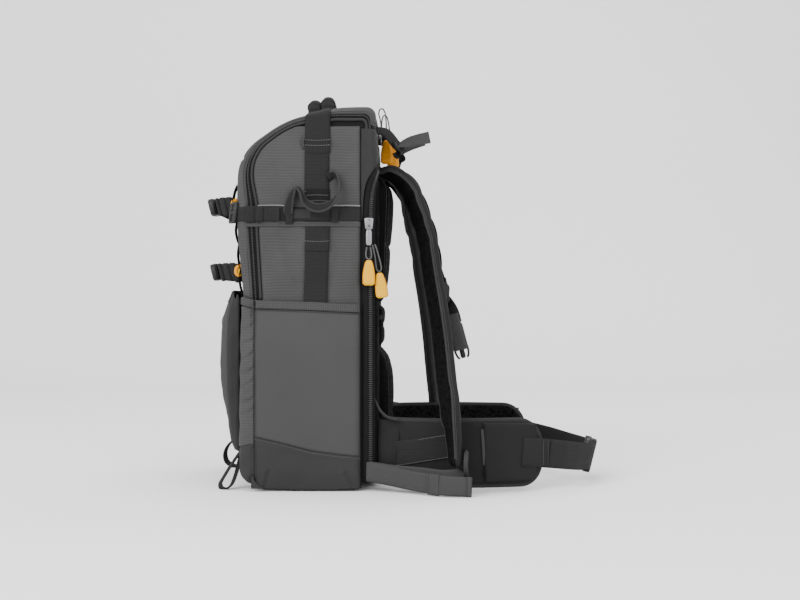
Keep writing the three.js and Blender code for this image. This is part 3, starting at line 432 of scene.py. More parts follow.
ripstop = clothMaterial("ripstop", {
    "light": tone(120), "dark": tone(82), "rib": 0.0037, "cross": 0.0012, "wobble": 0.007,
    "ribShare": 0.17, "weaveShare": 0.1, "fuzzShare": 0.28, "slowShare": 0.6, "bump": 0.42, "slow": 14,
})
pocketCloth = clothMaterial("pocketCloth", {
    "light": tone(112), "dark": tone(90), "rib": 0.0016, "cross": 0.0009, "ribShare": 0.06,
    "weaveShare": 0.2, "fuzzShare": 0.5, "slowShare": 0.4, "bump": 0.25, "ribBump": 0.1,
})
hemCloth = clothMaterial("hemCloth", {
    "light": tone(122), "dark": tone(76), "rib": 0.0011, "cross": 0.0027, "ribShare": 0.1,
    "weaveShare": 0.6, "fuzzShare": 0.3, "slowShare": 0.3, "bump": 0.6, "ribBump": 0.2,
})
lowerCloth = clothMaterial("lowerCloth", {
    "light": tone(92), "dark": tone(66), "rib": 0.0012, "cross": 0.0012, "ribShare": 0.15,
    "weaveShare": 0.3, "fuzzShare": 0.4, "slowShare": 0.5, "bump": 0.45, "ribBump": 0.3,
})
yokeCloth = clothMaterial("yokeCloth", {
    "light": tone(88), "dark": tone(62), "rib": 0.0011, "cross": 0.0011, "ribShare": 0.1,
    "weaveShare": 0.3, "fuzzShare": 0.4, "slowShare": 0.5, "bump": 0.4, "ribBump": 0.3,
})
strapCloth = clothMaterial("strapCloth", {
    "light": tone(68), "dark": tone(42), "rib": 0.0010, "cross": 0.0010, "ribShare": 0.1,
    "weaveShare": 0.35, "fuzzShare": 0.4, "slowShare": 0.45, "bump": 0.4, "ribBump": 0.3,
})
darkWeb = clothMaterial("darkWeb", {
    "light": tone(76), "dark": tone(44), "rib": 0.0018, "cross": 0.0026, "ribShare": 0.3,
    "weaveShare": 0.3, "fuzzShare": 0.3, "slowShare": 0.3, "bump": 0.6, "ribBump": 1.0,
})
paleWeb = clothMaterial("paleWeb", {
    "light": tone(114), "dark": tone(90), "rib": 0.0016, "cross": 0.0024, "ribShare": 0.15,
    "weaveShare": 0.15, "fuzzShare": 0.3, "slowShare": 0.3, "bump": 0.5, "ribBump": 0.8,
})
binding = clothMaterial("binding", {
    "light": tone(100), "dark": tone(66), "rib": 0.0014, "cross": 0.0014, "ribShare": 0.35,
    "weaveShare": 0.3, "fuzzShare": 0.3, "slowShare": 0.3, "bump": 0.6, "ribBump": 0.8,
})
zipTape = clothMaterial("zipTape", {
    "light": tone(50), "dark": tone(30), "rib": 0.0012, "cross": 0.0012, "ribShare": 0.3,
    "weaveShare": 0.3, "fuzzShare": 0.3, "slowShare": 0.3, "bump": 0.5, "ribBump": 0.6,
})
coilPlastic = plasticMaterial("coilPlastic", {"light": tone(112), "dark": tone(80), "rough": 0.45})
# Dark inner cloth; on the strap's side opening it is painted shade
innerClothAndShade = clothMaterial("innerClothAndShade", {
    "light": tone(52), "dark": tone(34), "rib": 0.0014, "cross": 0.0014, "ribShare": 0.2,
    "weaveShare": 0.3, "fuzzShare": 0.4, "slowShare": 0.4, "bump": 0.5,
})
threadPale = clothMaterial("threadPale", {
    "light": tone(176), "dark": tone(140), "rib": 0.0006, "cross": 0.0006, "bump": 0.3,
})
threadDark = clothMaterial("threadDark", {
    "light": tone(72), "dark": tone(48), "rib": 0.0006, "cross": 0.0006, "bump": 0.3,
})
threadGrey = clothMaterial("threadGrey", {
    "light": tone(136), "dark": tone(108), "rib": 0.0006, "cross": 0.0006, "bump": 0.3,
})
reflective = clothMaterial("reflective", {
    "light": tone(190), "dark": tone(150), "rib": 0.0012, "cross": 0.0012, "ribShare": 0.3,
    "rough": 0.45, "bump": 0.3,
})
# The mesh openings' colours are painted shade
airMesh = meshMaterial("airMesh", {
    "light": tone(50), "dark": tone(20), "holeShade": tone(6), "stretch": (1.0, 0.6, 1.0),
    "cells": 240.0, "random": 0.85, "bump": 1.0,
})
backMesh = meshMaterial("backMesh", {
    "light": tone(50), "dark": tone(30), "holeShade": tone(16), "stretch": (1.0, 0.8, 1.0),
    "cells": 420.0, "random": 0.3, "bump": 0.6,
})
blackPlastic = plasticMaterial("blackPlastic", {"light": tone(70), "dark": tone(48), "rough": 0.38})
yellowPlastic = plasticMaterial("yellowPlastic", {
    "light": (0.58, 0.33, 0.002, 1), "dark": (0.56, 0.27, 0.001, 1), "rough": 0.45,
})
# Darker amber for the pulls' two sides: painted shade where they turn away
sideShadePlastic = plasticMaterial("sideShadePlastic", {
    "light": (0.56, 0.24, 0.003, 1), "dark": (0.5, 0.19, 0.002, 1), "rough": 0.5,
})
orangePlastic = plasticMaterial("orangePlastic", {
    "light": (0.66, 0.29, 0.004, 1), "dark": (0.54, 0.18, 0.002, 1), "rough": 0.48,
})
brightMetal = metalMaterial("brightMetal", (0.24, 0.24, 0.25, 1), 0.3)
cordCloth = clothMaterial("cordCloth", {
    "light": tone(150), "dark": tone(98), "rib": 0.0016, "cross": 0.0009, "ribShare": 0.5, "bump": 0.7,
})
print("materials made")

# Zip cords, along the same routes as their solids
cordSettings = {
    "back_cord_a": {
        "route": [(67.8, -141.1, 311.14), (67, -141.9, 305.94), (66.8, -143.1, 300.94),
                  (67.8, -143.9, 297.34), (70.4, -144.1, 295.94), (73, -143.9, 297.34),
                  (73.8, -143.1, 300.94), (73.2, -141.9, 305.94), (72.4, -141.1, 311.14)],
        "farEnd": "object", "hangs": ["back_pull_a"],
    },
    "back_cord_b": {
        "route": [(75, -139.5, 313.94), (76.8, -139.4, 305.94), (78.4, -139.3, 297.94),
                  (79.4, -139.2, 287.94), (80.8, -139.2, 281.94), (83.6, -139.2, 279.94),
                  (86, -139.2, 282.54), (85.4, -139.3, 289.94), (82.8, -139.4, 299.94),
                  (80.2, -139.5, 308.94), (78, -139.5, 314.94)],
        "farEnd": "object", "hangs": ["back_pull_b"],
    },
    "lid_cord_a": {
        "route": [(84.54, -32.92, 471.92), (84.34, -33.32, 479.92), (83.14, -33.52, 487.92),
                  (81.34, -33.52, 495.92), (83.04, -33.52, 501.42), (86.34, -33.52, 502.42),
                  (89.34, -33.52, 497.92), (90.94, -33.52, 487.92), (91.74, -33.52, 473.92),
                  (91.84, -33.52, 459.92)],
        "farEnd": "fitting", "hangs": ["lid_pull_a"],
    },
    "lid_cord_b": {
        "route": [(84.54, -26.92, 471.92), (85.04, -26.52, 479.92), (85.74, -26.32, 487.92),
                  (87.54, -26.12, 493.52), (90.94, -25.92, 493.92), (93.54, -25.92, 487.92),
                  (95.54, -25.92, 476.92), (96.94, -25.92, 465.92), (97.94, -25.92, 454.92)],
        "farEnd": "fitting", "hangs": ["lid_pull_b"],
    },
}
cordThick = 2.0
cords = {}
for name, settings in cordSettings.items():
    line = smoothLine(settings["route"], 48)
    piece = tube(name + "_braid", line, cordThick / 2, 10, cordCloth)
    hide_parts(name)
    cords[name] = (piece, line)


# Pulls: a moulded shape, wide at its foot, with painted amber shade along its two sides and grip ridges
def pullPiece(name, top, lean, material):
    settings = {"length": 32, "width": 16, "thick": 6.4}
    down = unit(np.array([lean, 0, -1.0]))
    side = np.array([-down[2], 0, down[0]])
    face = np.array([0.0, -1.0, 0.0])
    rings = []
    shares = np.concatenate([[0], np.linspace(0.004, 0.996, 60), [1]])
    for s in shares:
        width = 0.52 + 0.48 * math.sin(min(1, s / 0.68) * math.pi / 2) ** 1.1
        ends = min(1, math.sqrt(max(0.0, min(s, 1 - s)) / 0.09 + 0.02))
        half = settings["width"] / 2 * width * (0.55 + 0.45 * ends)
        deep = settings["thick"] / 2 * (0.45 + 0.55 * ends)
        if 0.5 < s < 0.86:
            deep *= 1 - 0.08 * (0.5 - 0.5 * math.cos((s - 0.5) / 0.36 * 6 * math.pi))
        ring = []
        for t in np.linspace(0, 2 * math.pi, 28, endpoint=False):
            c, z = math.cos(t), math.sin(t)
            ring.append(
                np.array(top) + down * s * settings["length"]
                + side * half * math.copysign(abs(c) ** 0.7, c)
                + face * deep * math.copysign(abs(z) ** 0.75, z)
            )
        rings.append(ring)
    # Faces on the pull's two sides take the darker amber as painted shade
    turns = np.linspace(0, 2 * math.pi, 28, endpoint=False) + math.pi / 28
    rim = np.where(np.abs(np.cos(turns)) > 0.84, 1, 0)
    return loft(name, rings, [material, sideShadePlastic], ringMaterials=rim)


pulls = {
    "back_pull_a": ((70.4, -144.1, 294.54), 0.0, yellowPlastic, "yellow_pull"),
    "back_pull_b": ((83.6, -139.2, 278.54), 0.13, yellowPlastic, "yellow_pull"),
    "lid_pull_a": ((91.84, -33.52, 459.62), 0.0, orangePlastic, "orange_pull"),
    "lid_pull_b": ((97.94, -25.92, 454.62), 0.1, orangePlastic, "orange_pull"),
}
for name, (top, lean, material, slot) in pulls.items():
    piece = pullPiece(name + "_moulded", top, lean, material)
    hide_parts(name)
for name, settings in cordSettings.items():
    piece, line = cords[name]

# The bag's form: its solids' outline, with a narrower rounded edge along the slanted top
bag = {
    "front": -98.1, "depth": 180.0, "height": 491.0, "half": 136.0, "edge": 22.0,
    "rear": 8, "bottom": 4,
    "frontOff": ([0, 370, 425, 465], [22, 22, 12, 6]),
    "topOff": ([-98, -60, -30, -11, 21, 40], [6, 4.5, 5.5, 7, 12.5, 13.5]),
    "corners": [
        (0.022, 0, 0.07), (0.039, 0.509, 0.3), (0, 0.7, 0.3), (0, 0.855, 0.135),
        (0.128, 0.91, 0.12), (0.367, 0.967, 0.26), (0.711, 1, 0.16), (0.972, 1, 0.02),
        (1, 0.866, 0.08), (1, 0, 0.06),
    ],
}


def bagOutline():
    flat = [np.array([bag["front"] + x * bag["depth"], z * bag["height"]]) for x, z, _ in bag["corners"]]
    made = []
    for i, (_, _, share) in enumerate(bag["corners"]):
        here, back, ahead = flat[i], unit(flat[i - 1] - flat[i]), unit(flat[(i + 1) % len(flat)] - flat[i])
        opening = math.acos(np.dot(back, ahead))
        radius = share * bag["height"]
        reach = radius / math.tan(opening / 2)
        centre = here + unit(back + ahead) * radius / math.sin(opening / 2)
        a, b = here + back * reach - centre, here + ahead * reach - centre
        turn = math.atan2(a[0] * b[1] - a[1] * b[0], np.dot(a, b))
        for k in range(17):
            c, s = math.cos(turn * k / 16), math.sin(turn * k / 16)
            made.append(centre + np.array([a[0] * c - a[1] * s, a[0] * s + a[1] * c]))
    return np.array(made)


outline = evenLine(np.vstack([bagOutline(), bagOutline()[:1]]), 1401)[:-1]


# The edge takes off less along the slanted top than on the front
def stretched(part, taken, grow):
    midX, midZ = bag["front"] + bag["depth"] / 2, bag["height"] / 2
    halfX, halfZ = bag["depth"] / 2, bag["height"] / 2
    x, z = part[:, 0] - midX, part[:, 1] - midZ
    offX = np.where(x < 0, np.interp(part[:, 1], *bag["frontOff"]), bag["rear"])
    offZ = np.where(z < 0, bag["bottom"], np.interp(part[:, 0], *bag["topOff"]))
    x = midX + x * (halfX + grow - offX * taken) / halfX
    z = midZ + z * (halfZ + grow - offZ * taken) / halfZ
    return x, z


# Columns across the bag: (y as a share of the flat part, or a turn in degrees round the edge, and
# a distance further inwards on the flat side)
def acrossBag(turn, flats, rounds, inward=()):
    right = [(-1, 90.0, d) for d in reversed(inward)]
    right += [(-1, t, 0.0) for t in np.linspace(turn, 0, rounds)]
    middle = [(s, None, 0.0) for s in np.linspace(-1, 1, flats + 2)[1:-1]]
    return right + middle + [(-s, t, d) for s, t, d in reversed(right)]


def bagGrid(part, columns, grow=0.0):
    flat = bag["half"] - bag["edge"]
    grid = np.zeros((len(part), len(columns), 3))
    way = unit(np.gradient(part, axis=0))
    inwards = np.stack([way[:, 1], -way[:, 0]], axis=1)
    for j, (side, turn, inward) in enumerate(columns):
        t = math.radians(turn or 0)
        x, z = stretched(part, 1 - math.cos(t), grow)
        y = side * flat if turn is None else side * (flat + grow + bag["edge"] * math.sin(t))
        grid[:, j, 0] = x + inwards[:, 0] * inward
        grid[:, j, 1] = y
        grid[:, j, 2] = z + inwards[:, 1] * inward
    return grid


# Part of the outline from the front at one height over the top to the rear at another
def overTop(frontZ, rearZ, count):
    up = np.argmax(outline[:, 1] >= frontZ)
    down = len(outline) - 1 - np.argmax(outline[::-1, 1] >= rearZ)
    return evenLine(outline[up : down + 1], count)


# The inner core, dark, seen only in the gaps between the panels
coreSettings = {"grow": -3.4}
coreRings = np.moveaxis(bagGrid(evenLine(np.vstack([outline, outline[:1]]), 241)[:-1],
                                acrossBag(90, 20, 10), coreSettings["grow"]), 1, 0)
core = loft("core", coreRings, [innerClothAndShade])
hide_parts("body_shell")

# Lid: the padded front and top cover
lidSettings = {"turn": 66, "foot": 244.0, "rear": 472.5, "low": -3.0, "high": 0.2}
lidPart = overTop(lidSettings["foot"], lidSettings["rear"], 190)
lidGrid = bagGrid(lidPart, acrossBag(lidSettings["turn"], 70, 14))
lidSeams = [
    [(-90, y, 425) for y in (-130, 130)],
    [(21, y, 489) for y in (-128, 128)],
    [(-98, -62, 250), (-98, -62, 400), (-60, -62, 458), (20, -62, 489)],
    [(-98, 62, 250), (-98, 62, 400), (-60, 62, 458), (20, 62, 489)],
]
lidLift = 1.1 * ripple(lidGrid, 95, 3) + 0.5 * ripple(lidGrid, 34, 4) + 1.6
for seam in lidSeams:
    lidLift -= 2.0 * nearLine(lidGrid, seam, 2.2)
lid = clothOn("lid_cover", lidGrid, (0, 0, 1), lidSettings["low"], lidSettings["high"], 7,
              [ripstop, yokeCloth],
              lift=lidLift, rimMaterial=1, slot="ripstop_cloth")
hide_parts("lid")

# Stitches and zip teeth are gathered as lines and made by one node tree at the end
stitchLines = {"pale": [], "grey": [], "dark": []}
teethLines = {"lid": [], "back": []}


def stitch(colour, points, normals):
    stitchLines[colour].append((np.array(points, float),
                                np.broadcast_to(np.array(normals, float), np.shape(points)).copy()))


# The lid's zip: sunk tape, a raised coil and an edge binding beside the side panel
zipSettings = {"sink": -1.7, "coilTurn": 78.0, "bindIn": 1.2, "bindOut": 4.6, "foot": 244.0, "rear": 470.0}
zipPart = overTop(zipSettings["foot"], zipSettings["rear"], 170)


def mirrorY(grid):
    return grid * np.array([1, -1, 1])


tapeColumns = [(-1, t, 0.0) for t in np.linspace(62, 90, 9)] + [(-1, 90.0, d)
        for d in (1.2, 2.4, 3.6, 5.0, 6.0)]
tapeGrid = bagGrid(zipPart, tapeColumns)
bindColumns = [(-1, 90.0, d) for d in np.linspace(zipSettings["bindIn"], zipSettings["bindOut"], 7)]
bindGrid = bagGrid(zipPart, bindColumns)
coilLine = bagGrid(zipPart, [(-1, zipSettings["coilTurn"], 0.0)])[:, 0]
coilNormal = unit(bagGrid(zipPart, [(-1, zipSettings["coilTurn"], 0.0)], 1.0)[:, 0] - coilLine)
for side, name in bagSides:
    flip = (lambda g: g) if side > 0 else mirrorY
    outward = (0, -side, 0)
    tape = clothOn("lid_zip_tape_" + name, flip(tapeGrid), outward, -2.9, zipSettings["sink"], 1, [zipTape],
                   slot="zip_tape")
    if side > 0:
        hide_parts("lid_zip")
    clothOn("lid_zip_binding_" + name, flip(bindGrid), outward, -2.2, 0.5, 1.6, [binding],
            slot="ripstop_cloth")
    line, normal = flip(coilLine[:, None])[:, 0], flip(coilNormal[:, None])[:, 0]
    teethLines["lid"].append((line + normal * (zipSettings["sink"] + 0.5), normal))
    lidEdge = bagGrid(zipPart, [(-1, 61.0, 0.0)], 0.7)[:, 0]
    stitch("dark", flip(lidEdge[:, None])[:, 0], (0, -side * 0.9, 0.43))

# The zip across the rear of the lid
rearZipZ = 468.0


def rearX(z):
    rear = outline[(outline[:, 0] > 20)]
    rear = rear[np.argsort(rear[:, 1])]
    rear = rear[(rear[:, 1] < 484)]
    return np.interp(z, rear[:, 1], rear[:, 0])


ys = np.linspace(-133, 133, 120)
zs = np.linspace(rearZipZ - 4.6, rearZipZ + 4.6, 8)
rearBulge = 1 - np.clip((np.abs(ys) - 114) / 22, 0, 1) ** 2
rearGrid = np.stack(
    [np.stack([rearX(z) - 8 * (1 - np.sqrt(np.maximum(rearBulge, 0.0))), ys, np.full_like(ys, z)],
              axis=1) for z in zs],
    axis=1,
)
clothOn("lid_zip_tape_rear", rearGrid, (1, 0, 0), -2.9, -1.5, 1, [zipTape], slot="zip_tape")
teethLines["lid"].append((rearGrid[:, 4] - np.array([1.0, 0, 0]),
                          np.broadcast_to([1.0, 0, 0], (len(ys), 3)).copy()))

# Side panels, ripstop with fine level ribs
sideSettings = {"rear": 59.2, "top": 466.0, "low": -3.0, "high": 0.0, "inset": 5.2}
innerEdge = bagGrid(zipPart, [(-1, 90.0, sideSettings["inset"])])[:, 0]
frontPart = innerEdge[innerEdge[:, 0] < sideSettings["rear"]]
frontPart = frontPart[np.concatenate([[True], np.diff(frontPart[:, 2]) > 0.02])]
sideZ = np.concatenate([np.linspace(2, 400, 120), np.linspace(402, sideSettings["top"], 50)])
leftX = np.interp(sideZ, frontPart[:, 2], frontPart[:, 0])
sideShare = np.linspace(0, 1, 64)
sideX = leftX[:, None] + (sideSettings["rear"] - leftX)[:, None] * sideShare
sideGrid = np.stack([sideX, np.full_like(sideX, -bag["half"]), np.repeat(sideZ[:, None], 64, axis=1)],
                    axis=-1)
for side, name in bagSides:
    grid = sideGrid if side > 0 else mirrorY(sideGrid)
    swell = 1.0 + 0.95 * ripple(grid * (1, 1, 1.5), 84, 11 + side) + 0.4 * ripple(grid, 30, 13 + side)
    for chain, deep, wide in (([(24, 332), (31, 300), (20, 262)], 1.7, 5),
                              ([(40, 330), (50, 290), (46, 250)], -1.0, 7),
                              ([(-40, 330), (-30, 290), (-16, 258)], 1.2, 6),
                              ([(-62, 440), (-40, 405), (-20, 392)], 1.1, 6),
                              ([(26, 440), (44, 410), (54, 372)], 1.2, 6),
                              ([(-66, 380), (-50, 372), (-24, 380)], 0.9, 5)):
        swell -= deep * nearLine(grid[..., [0, 2]], chain, wide)
    # flat under the webbing
    swell = np.minimum(swell, 0.4 + 3 * np.clip((np.abs(grid[..., 0] - 4.5) - 16) / 14, 0, 1))
    for z, deep in ((336, 1.2), (364.5, 1.2)):
        swell -= deep * np.exp(-(((grid[..., 2] - z) / 2.6) ** 2))
    swell += 0.5 * np.exp(-(((grid[..., 0] + 66) / 3.5) ** 2)) * ripple(grid, 16, 17)
    panel = clothOn("side_panel_" + name, grid, (0, -side, 0), sideSettings["low"], sideSettings["high"], 4,
                    [ripstop, innerClothAndShade], uv=np.stack([grid[..., 0], grid[..., 2]], axis=-1), lift=swell,
                    rimMaterial=1, slot="ripstop_cloth")

print("lid, zip and side panels made")

# Behind the side panels: the yoke, the back door and its zip, on one unrolled surface.
# around runs from one side, round the rear corners, to the other side
rearForm = {"sideX": 59.6, "rear": 81.9, "edge": 22.0, "deep": 8.0}
turns = np.radians(np.linspace(90, 0, 60))
cornerLine = np.stack([rearForm["rear"] - 8 * (1 - np.cos(turns)), -(114 + 22 * np.sin(turns))], axis=1)
wholeLine = np.vstack([[[rearForm["sideX"], -136.0]], cornerLine, cornerLine[::-1] * (1, -1),
                       [[rearForm["sideX"], 136.0]]])
wholeSteps = np.concatenate([[0], np.cumsum(np.linalg.norm(np.diff(wholeLine, axis=0), axis=1))])
rearAround = wholeSteps[-1]


def onRear(around, z, grow=0.0):
    x = np.interp(around, wholeSteps, wholeLine[:, 0])
    y = np.interp(around, wholeSteps, wholeLine[:, 1])
    dx = np.interp(around + 0.8, wholeSteps, wholeLine[:, 0]) - np.interp(around - 0.8, wholeSteps,
            wholeLine[:, 0])
    dy = np.interp(around + 0.8, wholeSteps, wholeLine[:, 1]) - np.interp(around - 0.8, wholeSteps,
            wholeLine[:, 1])
    n = unit(np.stack([dy, -dx, np.zeros_like(dx)], axis=-1))
    share = np.clip((x - rearForm["sideX"]) / (rearForm["rear"] - rearForm["sideX"]), 0, 1)
    x = x + share * (rearX(z) - rearForm["rear"])
    return np.stack([x, y, z], axis=-1) + n * grow


doorZip = smoothLine(
    [(12.9, 16), (12.9, 120), (12.9, 230), (12.9, 335), (14.2, 372), (18, 391), (26, 403), (38, 409),
     (56, 410.5), (100, 411), (rearAround / 2, 411)], 150)
doorZip = np.vstack([doorZip, (doorZip[::-1] * (-1, 1) + (rearAround, 0))[1:]])


def sideOf(line, distance):
    way = unit(np.gradient(line, axis=0))
    return line + np.stack([-way[:, 1], way[:, 0]], axis=1) * distance


doorSettings = {"outer": 10.0, "inner": 7.2, "tapeHigh": -0.9, "sunk": -2.9}
zipRows = np.linspace(doorSettings["outer"], -doorSettings["inner"], 14)
zipPlane = np.stack([sideOf(doorZip, d) for d in zipRows], axis=1)
doorTapeGrid = onRear(zipPlane[..., 0], zipPlane[..., 1])
tapeShape = np.interp(zipRows, [-7.2, -5.5, -3.4, -2.6, 2.6, 3.4, 6, 7, 10],
                      [0.6, 0.9, 0.9, 0, 0, 0.8, 0.8, 0.2, 0.3])
doorTape = clothOn("back_zip_tape", doorTapeGrid, (1, 0, 0), doorSettings["sunk"], doorSettings["tapeHigh"],
                   1, [zipTape],
                   lift=np.broadcast_to(tapeShape, doorTapeGrid.shape[:2]), slot="zip_tape")
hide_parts("back_zip")
for d, colour in ((6.6, "dark"), (-6.2, "dark")):
    edge = sideOf(doorZip, d)
    line = onRear(edge[:, 0], edge[:, 1], 0.35)
    stitch(colour, line, unit(onRear(edge[:, 0], edge[:, 1], 1.0) - onRear(edge[:, 0], edge[:, 1])))
teethLine = onRear(doorZip[:, 0], doorZip[:, 1], -0.2)
teethLines["back"].append((teethLine,
                           unit(onRear(doorZip[:, 0], doorZip[:, 1], 1.0)
                                - onRear(doorZip[:, 0], doorZip[:, 1]))))

# Yoke above the door
upper = sideOf(doorZip, doorSettings["outer"] + 0.6)
yokeAround = np.linspace(0.4, rearAround - 0.4, 190)
order = np.argsort(upper[:, 0])
yokeFoot = np.interp(np.clip(yokeAround, 2.6, rearAround - 2.6), upper[order, 0], upper[order, 1])
edgeFoot = np.where((yokeAround < 2.7) | (yokeAround > rearAround - 2.7), 345.0, yokeFoot)
yokeFoot = np.maximum(np.where(yokeAround < rearAround / 2, np.maximum.accumulate(edgeFoot), edgeFoot), 345)
yokeGrid = np.stack(
    [np.stack([onRear(a, z) for z in np.linspace(foot, 463.0, 46)]) for a, foot in zip(yokeAround, yokeFoot)])
yokeSwell = 0.6 + 0.7 * ripple(yokeGrid, 60, 21) + 0.25 * ripple(yokeGrid, 22, 22)
yoke = clothOn("yoke", yokeGrid, (1, 0, 0), -3.0, 0.0, 4, [yokeCloth], lift=yokeSwell, slot="ripstop_cloth")

# Door: dark mesh cloth behind the pads
lower = sideOf(doorZip, -doorSettings["inner"] - 0.5)
doorTop = lower[np.argsort(lower[:, 0])]
doorAround = np.linspace(doorTop[0, 0] + 0.2, rearAround - doorTop[0, 0] - 0.2, 150)
doorHigh = np.interp(doorAround, doorTop[:, 0],
                     np.maximum.accumulate(np.where(doorTop[:, 0] < rearAround / 2, doorTop[:, 1], 410)))
doorHigh = np.minimum(doorHigh, doorHigh[::-1])
doorGrid = np.stack(
    [np.stack([onRear(a, z) for z in np.linspace(18, max(high, 330), 120)]) for a,
     high in zip(doorAround, doorHigh)])
doorSwell = 0.8 + 0.7 * ripple(doorGrid, 55, 31) + 0.3 * ripple(doorGrid, 20, 32)
door = clothOn("back_door", doorGrid, (1, 0, 0), -3.0, 0.0, 4, [backMesh], lift=doorSwell, slot="mesh_cloth")
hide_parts("back_panel")
print("yoke and back door made")

# Moulded pieces: slabs, bars and rings joined into one mesh
def ringsPart(rings):
    r = np.array(rings, float)
    count, around = r.shape[:2]
    index = np.arange(count * around).reshape(count, around)
    ahead = np.roll(index, -1, axis=1)
    quads = np.stack([index[:-1], ahead[:-1], ahead[1:], index[1:]], axis=-1).reshape(-1, 4)
    faces = [tuple(map(int, q)) for q in quads]
    faces += [tuple(int(i) for i in index[0][::-1]), tuple(int(i) for i in index[-1])]
    points = r.reshape(-1, 3)
    volume = 0.0
    for f in faces:
        for k in range(1, len(f) - 1):
            volume += np.dot(points[f[0]], np.cross(points[f[k]], points[f[k + 1]]))
    if volume < 0:
        faces = [f[::-1] for f in faces]
    return points, faces


def roundedShape(width, height, radius, steps=5):
    made = []
    radius = min(radius, width / 2 - 0.01, height / 2 - 0.01)
    for k, (sx, sy) in enumerate(((1, 1), (-1, 1), (-1, -1), (1, -1))):
        for t in np.linspace(0, math.pi / 2, steps):
            a = t + k * math.pi / 2
            made.append((sx * (width / 2 - radius) + radius * math.cos(a),
                         sy * (height / 2 - radius) + radius * math.sin(a)))
    return np.array(made)


# A flat shape given thickness, with rolled edges
def slabPart(shape, thick, bevel, origin, xWay, yWay):
    shape = np.array(shape, float)
    xWay, yWay = unit(np.array(xWay, float)), unit(np.array(yWay, float))
    zWay = np.cross(xWay, yWay)
    middle = shape.mean(axis=0)
    reach = np.linalg.norm(shape - middle, axis=1, keepdims=True)
    rings = []
    for t in np.radians([90, 60, 30, 0]):
        rings.append((bevel * (1 - math.cos(t)), bevel * (1 - math.sin(t))))
    levels = rings + [(i, thick - d) for i, d in reversed(rings)]
    made = []
    for inset, deep in levels:
        flat = middle + (shape - middle) * (1 - inset / reach)
        made.append(np.array(origin, float) + flat[:, :1] * xWay + flat[:, 1:] * yWay + (deep - thick / 2)
                    * zWay)
    return ringsPart(made)


# A bar of rounded section along a line
def barPart(line, width, height, sideways, radius=None):
    line = np.array(line, float)
    _, side, out = framesAlong(line, sideways)
    shape = roundedShape(width, height, radius or min(width, height) * 0.42, 4)
    return ringsPart([p + shape[:, :1] * s + shape[:, 1:] * o for p, s, o in zip(line, side, out)])


def joinParts(name, parts, materials, kinds=None):
    points, faces, which = [], [], []
    for n, (p, f) in enumerate(parts):
        start = len(points)
        points += [tuple(q) for q in p]
        faces += [tuple(i + start for i in face) for face in f]
        which += [kinds[n] if kinds else 0] * len(f)
    piece = makePiece(name, points, faces, materials, None, which)
    return piece


def lineOf(*points, count=24):
    return smoothLine(points, count)


# Where the bag's front lies at a height, and points of its rounded side
frontRun = outline[outline[:, 0] < 0]
frontRun = frontRun[np.argsort(frontRun[:, 1])]
frontRun = frontRun[frontRun[:, 1] < 440]


def frontX(z):
    return np.interp(z, frontRun[:, 1], frontRun[:, 0])


def cornerPoint(turn, z, grow, side=1):
    taken = 1 - np.cos(np.radians(turn))
    midX, midZ = bag["front"] + bag["depth"] / 2, bag["height"] / 2
    offZ = np.where(z < midZ, 4.0, 20.0)
    flatZ = midZ + (z - midZ) * midZ / (midZ + grow - offZ * taken)
    x = midX + (frontX(flatZ) - midX) * (bag["depth"] / 2 + grow - 22 * taken) / (bag["depth"] / 2)
    y = -side * (bag["half"] - bag["edge"] + grow + bag["edge"] * np.sin(np.radians(turn)))
    return np.stack(np.broadcast_arrays(x, y, z), axis=-1)


# Side pockets: smooth panel, ribbed hem, ripstop gusset, and a darker foot with darts
pocketSettings = {
    "seamX": -75.4, "rear": 60.0, "bulge": 8.4, "mouth": 5.6, "foot": 2.6,
    "hemTop": [(-100, 248.5), (-93, 248), (-75, 244), (0, 241.5), (60, 238.5)], "hemTall": 11.5,
    "footSeam": [(-100, 74), (-75, 70), (-36, 61), (-3, 52), (30, 47.5), (60, 44.6)],
    "bottom": [(-100, 20), (-90, 9.0), (-82, 5), (-65, 3), (-20, 1.2), (20, 1.2), (60, 3)],
}


def along(table, x):
    t = np.array(pocketSettings[table], float)
    return np.interp(x, t[:, 0], t[:, 1])


def pocketGrow(x, z):
    s = pocketSettings
    up = np.interp(z, [0, 8, 24, 60, 110, 190, 228, 250],
                   [s["foot"], 4.6, 7.0, 8.2, s["bulge"], s["bulge"], 6.6, s["mouth"]])
    back = np.clip((s["rear"] - x) / 10, 0, 1)
    return 1.4 + (up - 1.4) * np.sqrt(1 - (1 - back) ** 2)


def pocketPatch(side, low, high, xs, rows, turns=()):
    columns = []
    for t in turns:
        zNow = np.linspace(0, 1, rows)
        base = cornerPoint(t, np.array(120.0), 5.0)[0]
        lo, hi = low(base), high(base)
        z = lo + (hi - lo) * zNow
        g = 3.0 + (pocketGrow(base, z) - 3.0) * math.sin(math.radians(t))
        p = cornerPoint(t, z, g)
        columns.append(p)
    for x in xs:
        lo, hi = low(x), high(x)
        z = lo + (hi - lo) * np.linspace(0, 1, rows)
        g = pocketGrow(x, z)
        columns.append(np.stack([np.full(rows, x), -(136 + g), z], axis=-1))
    grid = np.stack(columns)
    return grid if side > 0 else mirrorY(grid)


def pocketBottom(x):
    return along("bottom", x)


def pocketFootSeam(x):
    return along("footSeam", x)


def gussetFoot(x):
    return 61.0 + (x + 75) * 0.25


def pocketHemFoot(x):
    return along("hemTop", x) - pocketSettings["hemTall"]


def pocketHemTop(x):
    return along("hemTop", x)


